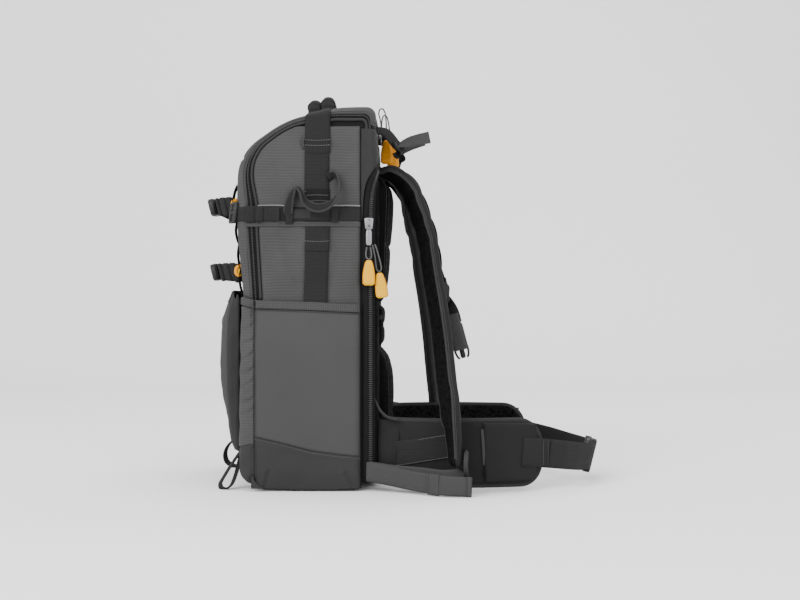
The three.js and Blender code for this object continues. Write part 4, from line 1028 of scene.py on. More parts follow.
panelXs = np.linspace(pocketSettings["seamX"] + 0.3, pocketSettings["rear"] - 0.2, 70)
gussetXs = np.linspace(-79.4, pocketSettings["seamX"] - 0.3, 4)
gussetTurns = np.linspace(5, 88, 16)
for side, name in bagSides:
    outward = (0, -side, 0)
    pieces = []
    grid = pocketPatch(side, pocketFootSeam, pocketHemFoot, panelXs, 90)
    lift = 0.35 * ripple(grid, 120, 40 + side) + 0.28 * ripple(grid * (1, 1, 0.6), 42, 42 + side)
    lift += 0.5 * np.exp(-(((grid[..., 0] + 71) / 2.6) ** 2)) * ripple(grid, 20, 44)
    uvPanel = np.stack([grid[..., 0], grid[..., 2]], axis=-1)
    panel = clothOn("side_pocket_panel_" + name, grid, outward, -2.4, 0.0, 1.8, [pocketCloth, innerClothAndShade],
                    uv=uvPanel, lift=lift, rimMaterial=1, slot="pocket_cloth")
    pieces.append(panel)
    if side > 0:
        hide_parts("side_pocket_right")
    else:
        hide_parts("side_pocket_left")
    grid = pocketPatch(side, pocketBottom, pocketFootSeam, panelXs, 34)
    lift = 0.5 * ripple(grid, 40, 46 + side)
    for chain in ([(-57, 26), (-63, 4)], [(41, 24), (50, 4)]):
        lift -= 2.0 * nearLine(grid[..., [0, 2]], chain, 2.4)
        lift += 0.9 * nearLine(grid[..., [0, 2]] + (4.5, 0), chain, 3.4)
    lift += 0.6 * nearLine(grid[..., [0, 2]], [(-75, 64), (-36, 55), (60, 39)], 4)
    clothOn("side_pocket_foot_" + name, grid, outward, -2.4, -0.3, 1.8, [lowerCloth],
            uv=np.stack([grid[..., 0], grid[..., 2]], axis=-1), lift=lift, slot="pocket_cloth")
    grid = pocketPatch(side, lambda x: pocketHemFoot(x) + 0.4, pocketHemTop, panelXs, 14)
    pucker = 0.32 * np.sin(grid[..., 0] * 2.33 + 0.8 * np.sin(grid[..., 0] * 0.7)) + 0.4 * ripple(grid, 30,
            50)
    clothOn("side_pocket_hem_" + name, grid, outward, -3.0, 1.0, 2.2, [hemCloth],
            uv=np.stack([grid[..., 0], grid[..., 2]], axis=-1), lift=pucker, slot="pocket_cloth")
    grid = pocketPatch(side, pocketBottom, gussetFoot, gussetXs, 44, gussetTurns)
    clothOn("side_pocket_corner_" + name, grid, (0, -side, 0), -2.2, -0.6, 1.8, [lowerCloth],
            uv=levelUv(grid),
            lift=0.9 * ripple(grid, 22, 51) - 1.6
            * nearLine(grid[..., [0, 2]], [(-77, 55), (-77.5, 8)], 2.6), slot="pocket_cloth")
    grid = pocketPatch(side, gussetFoot, pocketHemFoot, gussetXs, 130, gussetTurns)
    lift = 0.5 * ripple(grid, 30, 52 + side)
    around = np.linspace(0, 1, grid.shape[0])[:, None]
    for z, tilt, deep in ((206, 16, 1.1), (188, 12, 1.5), (168, 20, 1.3), (150, 14, 1.6), (133, 20, 1.2),
                          (113, 12, 1.5), (98, 14, 1.1)):
        low = grid[..., 2] - z - tilt * (around - 0.5)
        lift -= deep * np.exp(-((low / 2.6) ** 2)) * np.clip(around * 1.7 - 0.35, 0, 1)
        lift += 0.7 * deep * np.exp(-(((low - 5) / 3.4) ** 2)) * np.clip(around * 1.7 - 0.35, 0, 1)
    gusset = clothOn("side_pocket_gusset_" + name, grid, (0, -side, 0), -2.2, -0.2, 1.8, [ripstop],
                     uv=levelUv(grid), lift=lift, slot="pocket_cloth")
    grid = pocketPatch(side, lambda x: pocketHemFoot(x) + 0.4, pocketHemTop, gussetXs, 12, gussetTurns)
    clothOn("side_pocket_gusset_hem_" + name, grid, (0, -side, 0), -2.8, 0.6, 2.2, [hemCloth],
            lift=0.3 * ripple(grid, 12, 55), slot="pocket_cloth")
    for low, colour, inset in ((pocketFootSeam, "grey", -2.4), (pocketHemFoot, "dark", -1.6)):
        xs = np.linspace(-73.5, 58, 90)
        line = np.stack([xs, -(136 + pocketGrow(xs, low(xs)) + 0.45), low(xs) + inset], axis=1)
        stitch(colour, line if side > 0 else line * (1, -1, 1), (0, -side, 0))
    zs = np.linspace(14, 232, 120)
    line = np.stack([np.full_like(zs, -73.2), -(136 + pocketGrow(-73.2, zs) + 0.35), zs], axis=1)
    stitch("dark", line if side > 0 else line * (1, -1, 1), (0, -side, 0))

# Front pocket: a bellows with side gussets in a darker cloth that is partly painted shade, open at the top
frontPocket = {
    "back": -96.6, "halfBack": 113.4,
    "deep": [(46, 3), (50, 9), (61, 14.6), (74, 17), (93, 19), (110, 23), (133, 27), (159, 28.8),
             (192, 28.2), (220, 25.4), (240, 18.5), (258, 9.6)],
}


def pocketProfile(z, count):
    t = np.array(frontPocket["deep"], float)
    d = float(np.interp(z, t[:, 0], t[:, 1]))
    back = frontPocket["back"] + float(np.interp(z, [46, 250, 262], [0.0, -0.5, -3]))
    half = frontPocket["halfBack"]
    right = [(back, -half), (back - 0.28 * d, -half - 0.3), (back - 0.58 * d, -half + 2.5),
             (back - 0.86 * d, -half + 9.5), (back - d, -half + 26), (back - d - 0.3, -50)]
    left = [(x, -y) for x, y in reversed(right)]
    line = smoothLine(right + [(back - d - 0.6, 0)] + left, count)
    return np.stack([line[:, 0], line[:, 1], np.full(count, z)], axis=1)


pocketRows = np.concatenate([np.linspace(46, 60, 8), np.linspace(62, 257, 88)])
pocketFull = np.stack([pocketProfile(z, 161) for z in pocketRows], axis=1)
topDip = np.interp(np.abs(pocketFull[:, -1, 1]), [0, 96, 108, 112, 114], [0, 0, -9, -12, -4])
rowShare = (pocketRows - 46) / (257 - 46)
pocketFull[..., 2] += topDip[:, None] * rowShare ** 3
seamAt = 10
lift = 0.5 * ripple(pocketFull, 70, 61) + 0.35 * ripple(pocketFull, 26, 62)
lift -= 1.3 * nearLine(pocketFull[..., [1, 2]], [(-104, 205), (-84, 214), (84, 214), (104, 205)], 1.7)
lift += 0.5 * nearLine(pocketFull[..., [1, 2]] - (0, 5), [(-104, 205), (-84, 214), (84, 214), (104, 205)], 4)
for y0, z0, y1, z1 in ((-98, 120, -70, 96), (-96, 96, -60, 78), (96, 118, 66, 92), (-30, 60, 10, 72)):
    lift += 0.8 * nearLine(pocketFull[..., [1, 2]], [(y0, z0), (y1, z1)], 5)
frontPanel = pocketFull[seamAt : 161 - seamAt]
panel = clothOn("front_pocket_panel", frontPanel, (-1, 0, 0), -2.2, 0.0, 2.4, [pocketCloth, innerClothAndShade],
                lift=lift[seamAt : 161 - seamAt], rimMaterial=1, slot="pocket_cloth")
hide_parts("front_pocket")
for side, name in bagSides:
    part = pocketFull[: seamAt + 1] if side > 0 else pocketFull[160 - seamAt :]
    folds = 0.7 * ripple(part, 24, 66) - 0.9 * nearLine(part[..., [0, 2]], [(-103, 250), (-106, 60)], 3)
    # The gussets' darker cloth is partly their own colour and partly painted shade
    clothOn("front_pocket_gusset_" + name, part, (0, -side, 0), -2.0, -0.4, 1.5, [yokeCloth],
            lift=folds, slot="pocket_cloth")
    edge = pocketFull[seamAt + 1, 2:-2] if side > 0 else pocketFull[159 - seamAt, 2:-2]
    stitch("grey", edge + (-0.35, -0.35 * side, 0), unit(np.array([-1.0, -0.8 * side, 0])))
hemGrid = pocketFull[seamAt + 1 : 160 - seamAt, -9:]
clothOn("front_pocket_hem", hemGrid, (-1, 0, 0), -2.8, 0.9, 1.8, [binding], slot="pocket_cloth")
print("pockets made")


# Webbing laid on the bag's side or over its outline
def onSide(side, points, out=0.0, count=40):
    line = [(x, -side * (bag["half"] + out + (extra[0] if extra else 0)), z) for x, z, *extra in points]
    return smoothLine(line, count)


bandSettings = {"front": -86.0, "rear": 59.6, "dark": (344.0, 362.6), "pale": (337.2, 343.6)}
for side, name in bagSides:
    outward = (0, -side, 0)

    def bandGrid(lowZ, highZ, rows, back):
        zs = np.linspace(lowZ, highZ, rows)
        columns = []
        for t in np.linspace(24, 88, 12):
            columns.append(cornerPoint(t, zs, 0.9, side))
        for x in np.linspace(-73.5, back, 90):
            columns.append(np.stack([np.full(rows, x), np.full(rows, -side * 136.9), zs], axis=-1))
        return np.stack(columns)

    grid = bandGrid(*bandSettings["dark"], 16, bandSettings["rear"])
    wave = 0.5 * ripple(grid, 60, 71 + side)
    wave -= 0.8 * np.exp(-(((grid[..., 0] - 54.5) / 1.2) ** 2))
    band = clothOn("side_band_" + name, grid, outward, -0.8, 0.9, 1.6, [darkWeb], lift=wave,
                   uv=levelUv(grid), slot="strap_cloth")
    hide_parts("side_band_" + name)
    grid = bandGrid(*bandSettings["pale"], 8, bandSettings["rear"])
    clothOn("side_band_edge_" + name, grid, outward, -0.8, 0.6, 1.6, [paleWeb],
            lift=0.4 * ripple(grid, 40, 73),
            uv=levelUv(grid), slot="strap_cloth")
    for x0, x1 in ((-71.5, -30), (25, 59.2)):
        tube("band_piping_%s_%d" % (name, x0 > 0),
             onSide(side, [(x0, 364.2), ((x0 + x1) / 2, 364.6), (x1, 364)], 1.2, 30),
             1.0, 10, reflective)
    for z, colour in ((361.0, "dark"), (345.4, "dark"), (342.6, "grey"), (338.6, "grey")):
        xs = np.linspace(-72, 58, 60)
        stitch(colour, np.stack([xs, np.full(60, -side * 138.15), np.full(60, z)], axis=1), outward)
    # The place of the woven label stays bare
    labelGrid = np.stack([
        np.stack([np.full(8, x), np.full(8, -side * 138.2), np.linspace(347.5, 360, 8)], axis=-1)
        for x in np.linspace(-34, -3, 20)])
    clothOn("label_place_" + name, labelGrid, outward, -0.6, 0.35, 1.0, [yokeCloth], slot="strap_cloth")

# The strap over the top and down both sides, doubled above, with curved hems
overSettings = {"x": 5.0, "width": 32.0, "thick": 1.7}


def topZ(x):
    roof = outline[(outline[:, 1] > 430)]
    roof = roof[np.argsort(roof[:, 0])]
    return np.interp(x, roof[:, 0], roof[:, 1])


def overCorner(turn, x, grow):
    taken = 1 - math.cos(math.radians(turn))
    midX, midZ = bag["front"] + bag["depth"] / 2, bag["height"] / 2
    flatX = midX + (x - midX) * (bag["depth"] / 2) / (bag["depth"] / 2 + grow - 7 * taken)
    z = midZ + (topZ(flatX) - midZ) * (midZ + grow - np.interp(flatX, *bag["topOff"]) * taken) / midZ
    return z, bag["half"] - bag["edge"] + grow + bag["edge"] * math.sin(math.radians(turn))


def overGrid(columns, grow, endZ, hem):
    rows = []
    for x in columns:
        share = (x - overSettings["x"]) / (overSettings["width"] / 2)
        end = endZ + hem * share ** 2
        zCorner, _ = overCorner(90, x, grow)
        line = []
        for z in np.linspace(end, zCorner - 0.5, 34):
            line.append((x, -(bag["half"] + grow), z))
        for t in np.linspace(88, 0, 16):
            z, y = overCorner(t, x, grow)
            line.append((x, -y, z))
        zTop, _ = overCorner(0, x, grow)
        flat = [(x, y, zTop) for y in np.linspace(-110, 110, 60)]
        rows.append(line + flat + [(p[0], -p[1], p[2]) for p in reversed(line)])
    return np.array(rows)


overColumns = np.linspace(-11, 21, 13)
upperOver = overGrid(overColumns, 2.9, 428.5, 3.4)
over = clothOn("over_strap_upper", upperOver, (0, 0, 1), -1.7, 0.4, 1.2, [darkWeb],
               uv=np.stack([arcLengths(upperOver, 0), arcLengths(upperOver, 1)], axis=-1),
               lift=0.3 * ripple(upperOver, 60, 81), slot="dark_webbing")
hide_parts("over_strap")
for side, name in bagSides:
    y = -side * 137.5
    under = webbing("over_strap_lower_" + name,
                    onSide(side, [(4.2, 434), (4.0, 410), (4.0, 392), (4.4, 371), (5, 362)], 1.6, 40),
                    (1, 0, 0), 31, 1.5, darkWeb, wave=0.35, seed=83)
    lowerWeb = webbing("side_webbing_" + name,
                       onSide(side, [(5, 337.5), (4.8, 322), (4.2, 311, 1.4), (4.0, 306, 0.9)], 1.7, 24),
                       (1, 0, 0), 31, 1.6, darkWeb, wave=0.3, seed=84)
    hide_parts("side_webbing_" + name)
    webbing("side_webbing_lower_" + name,
            onSide(side, [(4.2, 314, 0.4), (4.0, 300, 1.2), (3.4, 275, 1.2), (2.6, 252, 1.4),
                          (2.6, 234, 1.6)], 1.2, 40),
            (1, 0, 0), 30, 1.5, darkWeb, wave=0.45, seed=85)
    for z, x0, x1, out, colour in (
            (447.2, -9.5, 19.5, 140.5, "pale"), (440.6, -9.5, 19.5, 140.5, "pale"),
            (381.3, -10, 17.8, 138.55, "pale"), (375.4, -10, 17.8, 138.55, "grey"),
            (318.6, -10, 18, 138.9, "pale"), (253.8, -12, 16.5, 138.1, "pale"),
            (432.6, -8.5, 18.5, 140.4, "dark")):
        xs = np.linspace(x0, x1, 16)
        bow = 0.8 * ((xs - 4) / 15) ** 2
        stitch(colour, np.stack([xs, np.full(16, -side * out), z + bow], axis=1), (0, -side, 0))
    # The opening that the side loop's strap passes through: a dark sheet of painted shade, with two light
    # edges
    slit = np.stack([
        np.stack([np.full(14, x), np.full(14, -side * (138.6 + 0.5 * math.sin(s * math.pi))),
                  np.linspace(366.5, 385.5, 14)], axis=-1)
        for s, x in zip(np.linspace(0, 1, 24), np.linspace(-10.6, 20.4, 24))])
    clothOn("strap_slit_" + name, slit, (0, -side, 0), -0.8, 0.3, 2.5, [innerClothAndShade],
            lift=-0.3 * ripple(slit, 14, 89), slot="dark_webbing")
    for z in (377.4, 370.2):
        tube("strap_slit_edge_%s_%d" % (name, z),
             onSide(side, [(-9.6, z - 0.4), (4, z + 0.4), (18.8, z - 0.3)], 3.2, 20), 0.75, 8, paleWeb)
    # A small folded end of binding beside the strap
    tabLine = onSide(side, [(-12.6, 437), (-14.1, 444.5, 1.5), (-12.6, 452)], 1.2, 10)
    joinParts("strap_tab_" + name, [barPart(tabLine, 4.2, 2.2, (1, 0, 0))], [binding])

# Side loops: narrow webbing that stands off the bag and hangs in a curve
loopRoute = [(-33, 349, 1.6, 0.15), (-31.5, 364, 3.2, 0.3), (-27, 378, 6, 0.55), (-20.7, 386, 9, 0.8),
             (-15, 379, 12, 0.8),
             (-9, 367.5, 15, 0.5), (4, 360.5, 17.5, 0.3), (18, 363, 16.5, 0.45), (29, 374, 13, 0.8),
             (33.5, 387, 9.5, 1.0),
             (31, 398, 6, 0.8), (26, 403.5, 3.6, 0.5), (18, 400, 2.8, 0.2)]
for side, name in bagSides:
    route = smoothLine([(x, z, o, s) for x, z, o, s in loopRoute], 90)
    line = np.stack([route[:, 0], -side * (137 + route[:, 2]), route[:, 1]], axis=1)
    stand = route[:, 3]
    way = unit(np.gradient(line, axis=0))
    flatSide = np.cross(np.array([0.0, side, 0.0]), way)
    sideVector = unit(flatSide * (1 - stand)[:, None] + np.array([0.0, -side, 0.0]) * stand[:, None])
    loop = webbing("side_loop_strap_" + name, line, sideVector, 11.5, 2.6, strapCloth, wave=0.25, seed=87)
    _, edgeSide, _ = framesAlong(line, sideVector)
    for k, shift in enumerate((-5.2, 5.2)):
        tube("side_loop_edge_%s_%d" % (name, k), line[3:-3] + edgeSide[3:-3] * shift, 1.5, 8, binding)
    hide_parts("side_loop_" + name)
    foot = onSide(side, [(27, 362, 3.4), (27.2, 352, 3.0), (26.5, 343, 2.0)], 1.6, 16)
    webbing("side_loop_foot_" + name, foot, (1, 0, 0), 9, 1.8, darkWeb)
    foot = onSide(side, [(-30, 356, 2.2), (-31, 347, 2.0), (-31, 341, 1.4)], 1.4, 12)
    webbing("side_loop_root_" + name, foot, (1, 0, 0), 9.5, 1.8, darkWeb)
print("side straps made")

# Compression straps round the front corners, with keepers and a loose end
for side, name in bagSides:
    route = [(-102, -118), (-97, -127.5), (-90, -135), (-80, -138.6), (-60, -140), (-50, -140.4),
             (-43.5, -143)]
    line = smoothLine([(x, side * y, 353.5) for x, y in route], 60)
    cinch = webbing("side_strap_" + name, line, (0, 0, 1), 18.5, 1.7, darkWeb, wave=0.3, seed=91)
    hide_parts("side_strap_" + name)
    for k, (x0, x1, out, tall) in enumerate(((-87, -74.5, 139.2, 21.5), (-73.6, -63.5, 140.6, 20.5))):
        grid = np.stack([
            np.stack([np.full(10, x), np.full(10, -side * (out + 0.9 * math.sin(s * math.pi))),
                      353.2 + np.linspace(-tall / 2, tall / 2, 10)], axis=-1)
            for s, x in zip(np.linspace(0, 1, 12), np.linspace(x0, x1, 12))])
        clothOn("side_strap_keeper_%s_%d" % (name, k), grid, (0, -side, 0), -1.6, 1.0, 2.0, [darkWeb],
                uv=np.stack([grid[..., 2], grid[..., 0]], axis=-1), slot="dark_webbing")
    # The corner buckle: a frame with a middle bar, set across the bag's rounded corner
    middle = np.array([-103.6, -122.6 * side, 356.0])
    facing = unit(np.array([-0.78, -0.62 * side, 0.0]))
    across = np.array([-facing[1], facing[0], 0.0]) * side
    up = unit(np.array([0.12, 0.0, 1.0]))

    def framePoint(a, b, out=0.0):
        return middle + across * a + up * b + facing * out

    bars = []
    for a in (-5.4, 5.4):
        bars.append(barPart([framePoint(a, -12.5), framePoint(a, -4, 0.6), framePoint(a, 4, 0.6),
                             framePoint(a, 12.5)], 4.2, 4.6, across, 1.6))
    for b in (-11.8, 0.0, 11.8):
        bars.append(barPart([framePoint(-6.4, b), framePoint(0, b, 0.7 if b == 0 else 0),
                             framePoint(6.4, b)], 4.0, 4.4, up, 1.7))
    bars.append(slabPart(roundedShape(9, 8, 3), 3.0, 0.9, framePoint(0, 6, -0.4), across, up))
    bars.append(slabPart(roundedShape(9, 8, 3), 3.0, 0.9, framePoint(0, -6, -0.4), across, up))
    buckle = joinParts("side_buckle_" + name, bars, [blackPlastic])
    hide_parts("side_buckle_" + name)

# Upright webbing on the lid, tacked down every few centimetres
for side, name in bagSides:
    zs = np.linspace(251, 393, 120)
    tacks = [251, 283, 316, 347, 393]
    raised = np.zeros_like(zs)
    for a, b, high in zip(tacks[:-1], tacks[1:], (3.2, 3.0, 3.4, 6.0)):
        inside = (zs > a) & (zs < b)
        raised[inside] = high * np.sin((zs[inside] - a) / (b - a) * math.pi) ** 0.8
    line = np.stack([frontX(zs) - 3.4 - raised, np.full_like(zs, -95.5 * side), zs], axis=1)
    daisy = webbing("front_daisy_" + name, line, (0, 1, 0), 24.5, 1.7, darkWeb, wave=0.2, seed=93)
    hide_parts("front_daisy_" + name)
    for z in tacks:
        for shift in (-1.4, 1.4):
            ys = np.linspace(-106.5, -84.5, 16) * side
            stitch("grey", np.stack([np.full(16, frontX(z) - 4.7), ys, np.full(16, z + shift)], axis=1),
                   (-1, 0, 0))

# Accessory straps: webbing bellied forward, keepers, a yellow tab at each end and a buckle
frontStrapSettings = {"upper": (367.0, 0.0), "lower": (281.0, 1.6)}
for name, (height, reach) in frontStrapSettings.items():
    lean = unit(np.array([0.24, 0, -0.97]))
    base = float(frontX(height)) - 5.6
    route = [(base, -99), (base - 4, -94.5), (base - 14, -88), (base - 24 - reach, -76),
             (base - 27.5 - reach, -58), (base - 28 - reach, 0)]
    route += [(x, -y) for x, y in reversed(route[:-1])]
    line = smoothLine([(x, y, height) for x, y in route], 130)
    strap = webbing("front_strap_" + name, line, lean, 22, 1.9, darkWeb, wave=0.25, seed=95)
    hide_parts("front_strap_" + name)
    _, sideWay, outWay = framesAlong(line, lean)
    outWay = np.where((outWay @ np.array([-1.0, 0, 0]))[:, None] < 0, -outWay, outWay)
    walked = arcLengths(line[:, None, :], 0)[:, 0]
    spots = [(10, 9.5, 2.4), (21, 10.5, 3.2), (34, 8.5, 3.8)]
    spots += [(walked[-1] - s, w, o) for s, w, o in spots]
    for k, (at, wide, out) in enumerate(spots):
        some = np.linspace(at - wide / 2, at + wide / 2, 10)
        rows = []
        for j, s in enumerate(some):
            p = np.array([np.interp(s, walked, line[:, i]) for i in range(3)])
            o = unit(np.array([np.interp(s, walked, outWay[:, i]) for i in range(3)]))
            swell = math.sin(j / 9 * math.pi) ** 0.5
            rows.append([p + o * (0.9 + (out - 1.6) * (0.55 + 0.45 * swell)) + lean * t
                         for t in np.linspace(-12.2, 12.2, 14)])
        grid = np.array(rows)
        clothOn("front_keeper_%s_%d" % (name, k), grid,
                tuple(outWay[int(len(outWay) * (0.1 if k < 3 else 0.9))]), -1.4, 0.7, 1.6, [darkWeb],
                uv=np.stack([arcLengths(grid, 1), arcLengths(grid, 0)], axis=-1), slot="dark_webbing")
    for sideSign in (1, -1):
        for row in (-8.6, 8.6):
            keep = walked < 46 if sideSign > 0 else walked > walked[-1] - 46
            stitch("dark", line[keep] + lean * row + outWay[keep] * 1.1, outWay[keep])
        # Yellow tab at the strap's root: an arched strip with a rounded end
        spot = np.array([base - 1.5, -101.5 * sideSign, height + 0.8])
        tabLine = [spot + (3.2, 0, -6.2), spot + (-1.2, -0.8 * sideSign, -4.4),
                   spot + (-2.6, -1.0 * sideSign, 0.0), spot + (-1.0, -0.8 * sideSign, 4.6),
                   spot + (3.4, 0, 6.4)]
        parts = [barPart(smoothLine(tabLine, 18), 7.4, 4.6, (0, 1, 0), 1.7)]
        parts.append(slabPart(roundedShape(6.4, 9.6, 2.8), 6.4, 1.4, spot + (0.4, 0, 0.4), (1, 0, 0),
                              (0, 0, 1)))
        joinParts("yellow_tab_%s_%s" % (name, "right" if sideSign > 0 else "left"), parts,
                  [orangePlastic, yellowPlastic], [0, 1])

    # The strap's own buckle, a side release one
    middle = np.array([base - 34.5 - reach, -55.0, height])
    across = np.array([0.0, 1.0, 0.0])
    upWay = -lean
    parts = [
        slabPart([(-16, -9.5), (-9, -11.2), (4, -11.2), (7, -8), (7, 8), (4, 11.2), (-9, 11.2), (-16, 9.5)],
                 9.2, 1.8, middle + across * -1, across, upWay),
        slabPart([(6, -6), (13, -7.5), (17, -10.5), (20, -10.5), (20, 10.5), (17, 10.5), (13, 7.5), (6, 6)],
                 6.8, 1.6, middle, across, upWay),
        slabPart(roundedShape(11, 9, 3.5), 1.8, 0.7, middle + across * -4 + np.array([-4.8, 0, 0]), across,
                 upWay),
    ]
    for d in (-18.5, 19):
        parts.append(barPart([middle + across * d - upWay * 10.5, middle + across * d,
                              middle + across * d + upWay * 10.5], 3.4, 5.4, across, 1.4))
    for d in (-9.4, 9.4):
        parts.append(barPart([middle + across * 2 + upWay * d * 1.04,
                              middle + across * 8 + upWay * d * 1.08, middle + across * 13 + upWay * d],
                              2.6, 4.6, upWay, 1.1))
    buckle = joinParts("front_buckle_" + name, parts, [blackPlastic])
    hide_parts("front_buckle_" + name)

# Tripod loops resting on the floor
tripodRoutes = {
    "right": [(-93.5, -109.5, 52), (-97, -110.5, 47), (-106, -113, 34), (-116.5, -116.5, 17),
              (-121.4, -118.6, 7), (-119.5, -119.6, 2.2),
              (-113.5, -119.4, 1.4), (-107.5, -117.6, 6), (-102.4, -114.6, 18), (-98.6, -112, 33),
              (-95.6, -109.8, 45), (-92, -108.4, 52)],
    "left": [(-93.5, 109, 50), (-104, 109.4, 50), (-122, 110.4, 45), (-137, 111.4, 36), (-144.5, 112, 22),
             (-142.5, 112, 9),
             (-133, 111.6, 2.4), (-122, 111, 1.6), (-110, 110.2, 8), (-101, 109.4, 18), (-94, 108.6, 26)],
}
for name, route in tripodRoutes.items():
    line = smoothLine(route, 90)
    loop = webbing("tripod_loop_" + name, line, (0.62, -0.7, 0.42) if name == "right" else (0.5, 0.8, 0.3),
                   10.5, 2.3, darkWeb, wave=0.15, seed=97)
    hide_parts("tripod_loop_" + name)

# Grab handles: rolled and padded in the middle, flat webbing at their ends
for name, x, top in (("front", -4.0, 506.6), ("rear", 13.7, 511.0)):
    half = [(0, top), (28, top - 0.8), (46, top - 3.4), (56, top - 7.6), (64, top - 13.6), (70, top - 17.6),
            (77, top - 19.4)]
    route = [(x, -y, z) for y, z in reversed(half[1:])] + [(x, y, z) for y, z in half]
    line = smoothLine(route, 150)
    side = np.array([1.0, 0, 0])
    _, sideWay, outWay = framesAlong(line, side)
    turns = np.linspace(0, 2 * math.pi, 36, endpoint=False)
    rings = []
    for p, s, o in zip(line, sideWay, outWay):
        fat = np.clip((62 - abs(p[1])) / 13, 0, 1) ** 0.5
        wrap = 0.25 * math.sin(p[1] * 0.9) * fat
        wide = 8.4 - 0.25 * (1 - fat) + wrap * 0.4
        tall = 1.3 + 6.9 * fat + wrap
        n = 0.9 if fat > 0.5 else 0.75
        ring = [p + s * wide * math.copysign(abs(math.cos(t)) ** n, math.cos(t)) + o * tall
                * math.copysign(abs(math.sin(t)) ** n, math.sin(t)) for t in turns]
        rings.append(ring)
    grip = loft("top_grip_" + name, rings, [strapCloth])
    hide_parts("top_grip_" + name)
    for y in (-52, 52):
        k = int(np.argmin(np.abs(line[:, 1] - y)))
        ring = np.array(rings[k])
        ring = ring + unit(ring - ring.mean(axis=0)) * 0.35
        stitch("grey", np.vstack([ring, ring[:1]]), unit(np.vstack([ring, ring[:1]]) - ring.mean(axis=0)))
        tube("grip_cuff_%s_%d" % (name, y > 0), np.vstack([ring, ring[:2]]), 1.1, 8, binding)
    seam = np.array([r[27] for r in rings if abs(np.mean(np.array(r)[:, 1])) < 50])
    stitch("dark", seam + (0, 0, -0.3), (0, 0, -1))
print("front straps, loops and handles made")


# Pads: swollen shells, fixed at their seams and blown up a little by a cloth simulation
def puff(piece, pinned, pressure, cap, frames=14):
    mesh = piece.data
    before = np.zeros(len(mesh.vertices) * 3)
    mesh.vertices.foreach_get("co", before)
    group = piece.vertex_groups.new(name="seams")
    group.add([int(i) for i in pinned], 1.0, "REPLACE")
    modifier = piece.modifiers.new("puff", "CLOTH")
    settings = modifier.settings
    settings.quality = 4
    settings.vertex_group_mass = "seams"
    settings.use_pressure = True
    settings.uniform_pressure_force = pressure
    settings.tension_stiffness = 12
    settings.compression_stiffness = 12
    settings.effector_weights.gravity = 0
    for frameNumber in range(1, frames + 1):
        scene.frame_set(frameNumber)
    graph = bpy.context.evaluated_depsgraph_get()
    after = np.zeros_like(before)
    piece.evaluated_get(graph).data.vertices.foreach_get("co", after)
    piece.modifiers.remove(modifier)
    piece.vertex_groups.remove(group)
    scene.frame_set(1)
    move = (after - before).reshape(-1, 3)
    length = np.linalg.norm(move, axis=1, keepdims=True)
    move = move * np.minimum(1, cap * 0.001 / np.maximum(length, 1e-9))
    mesh.vertices.foreach_set("co", (before.reshape(-1, 3) + move).ravel())
    mesh.update()
    print(piece.name, "swelled by up to", round(float(length.max()) * 1000, 1), "mm")


# A pad standing on the back door. rows: height, half width, depth
def backPad(name, rows, material, dotted, channels, seed):
    table = np.array(rows, float)
    low, high = table[0, 0], table[-1, 0]
    us = np.sin(np.linspace(-math.pi / 2, math.pi / 2, 74))
    vs = np.sin(np.linspace(-math.pi / 2, math.pi / 2, 80)) * 0.5 + 0.5
    z = low + (high - low) * vs
    half = np.interp(z, table[:, 0], table[:, 1])
    deep = np.interp(z, table[:, 0], table[:, 2])
    edge = (1 - np.abs(us) ** 5) ** (1 / 3.2)
    ends = (1 - np.abs(vs * 2 - 1) ** 9) ** (1 / 3)
    y = us[:, None] * half[None, :]
    flatZ = np.broadcast_to(z, y.shape)
    out = deep[None, :] * edge[:, None] * ends[None, :]
    grid = np.stack([81.6 + out, y, flatZ], axis=-1)
    swell = 0.7 * ripple(grid, 60, seed)
    for chain in channels:
        swell -= 3.2 * nearLine(grid[..., [1, 2]], chain, 3.4)
    full = edge[:, None] * ends[None, :]
    grid[..., 0] += swell * full
    back = grid.copy()
    back[..., 0] = np.minimum(81.0, grid[..., 0] - 0.3)
    uv = np.stack([arcLengths(grid, 0), arcLengths(grid, 1)], axis=-1)
    piece = shell(name + "_pad", grid, back, [material], uv=uv, slot="mesh_cloth")
    count = grid.shape[0] * grid.shape[1]
    held = [i for i in range(count) if full.ravel()[i] < 0.25] + list(range(count, 2 * count))
    for chain in channels:
        near = nearLine(grid[..., [1, 2]], chain, 3.0).ravel()
        held += [i for i in range(count) if near[i] > 0.5]
    puff(piece, sorted(set(held)), 3.0, 3.2)
    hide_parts(name)
    if dotted:
        for share in dotted:
            for side in (-1, 1):
                j = int(np.argmin(np.abs(us - share * side)))
                line = grid[j, 8:-8]
                normals = gridNormals(grid, (1, 0, 0))[j, 8:-8]
                stitch("grey", line + normals * 0.5, normals)
    return piece


backPad("back_pad_upper", [(241, 70, 4), (249, 88, 8.6), (275, 94, 12.0), (323, 95, 15.4), (370, 94, 18.6),
                           (392, 88, 18.5), (402, 76, 11), (405, 70, 6)],
        backMesh, (0.968, 0.9), [[(-48, 262), (-48, 380)], [(48, 262), (48, 380)], [(-86, 318), (86, 318)]],
        101)
backPad("back_pad_middle", [(183, 67, 3), (188, 74, 7), (232, 74, 7.2), (237, 68, 3)], backMesh, (),
        [[(-60, 210), (60, 210)]], 102)
backPad("lumbar_pad", [(7, 82, 8), (20, 90, 13), (60, 92, 18.6), (118, 92, 19.6), (145, 91, 18),
                       (166, 86, 13.5), (175, 77, 8), (179, 70, 3)],
        backMesh, (0.93,), [[(-48, 30), (-48, 150)], [(48, 30), (48, 150)], [(-80, 92), (80, 92)]], 103)

# The snap on the middle pad
joinParts("door_snap", [slabPart(roundedShape(6, 6, 2.9), 2.0, 0.6, (84, -75.6, 221), (1, 0, 0),
                                 (0, 0, 1))], [blackPlastic])
print("back pads made")

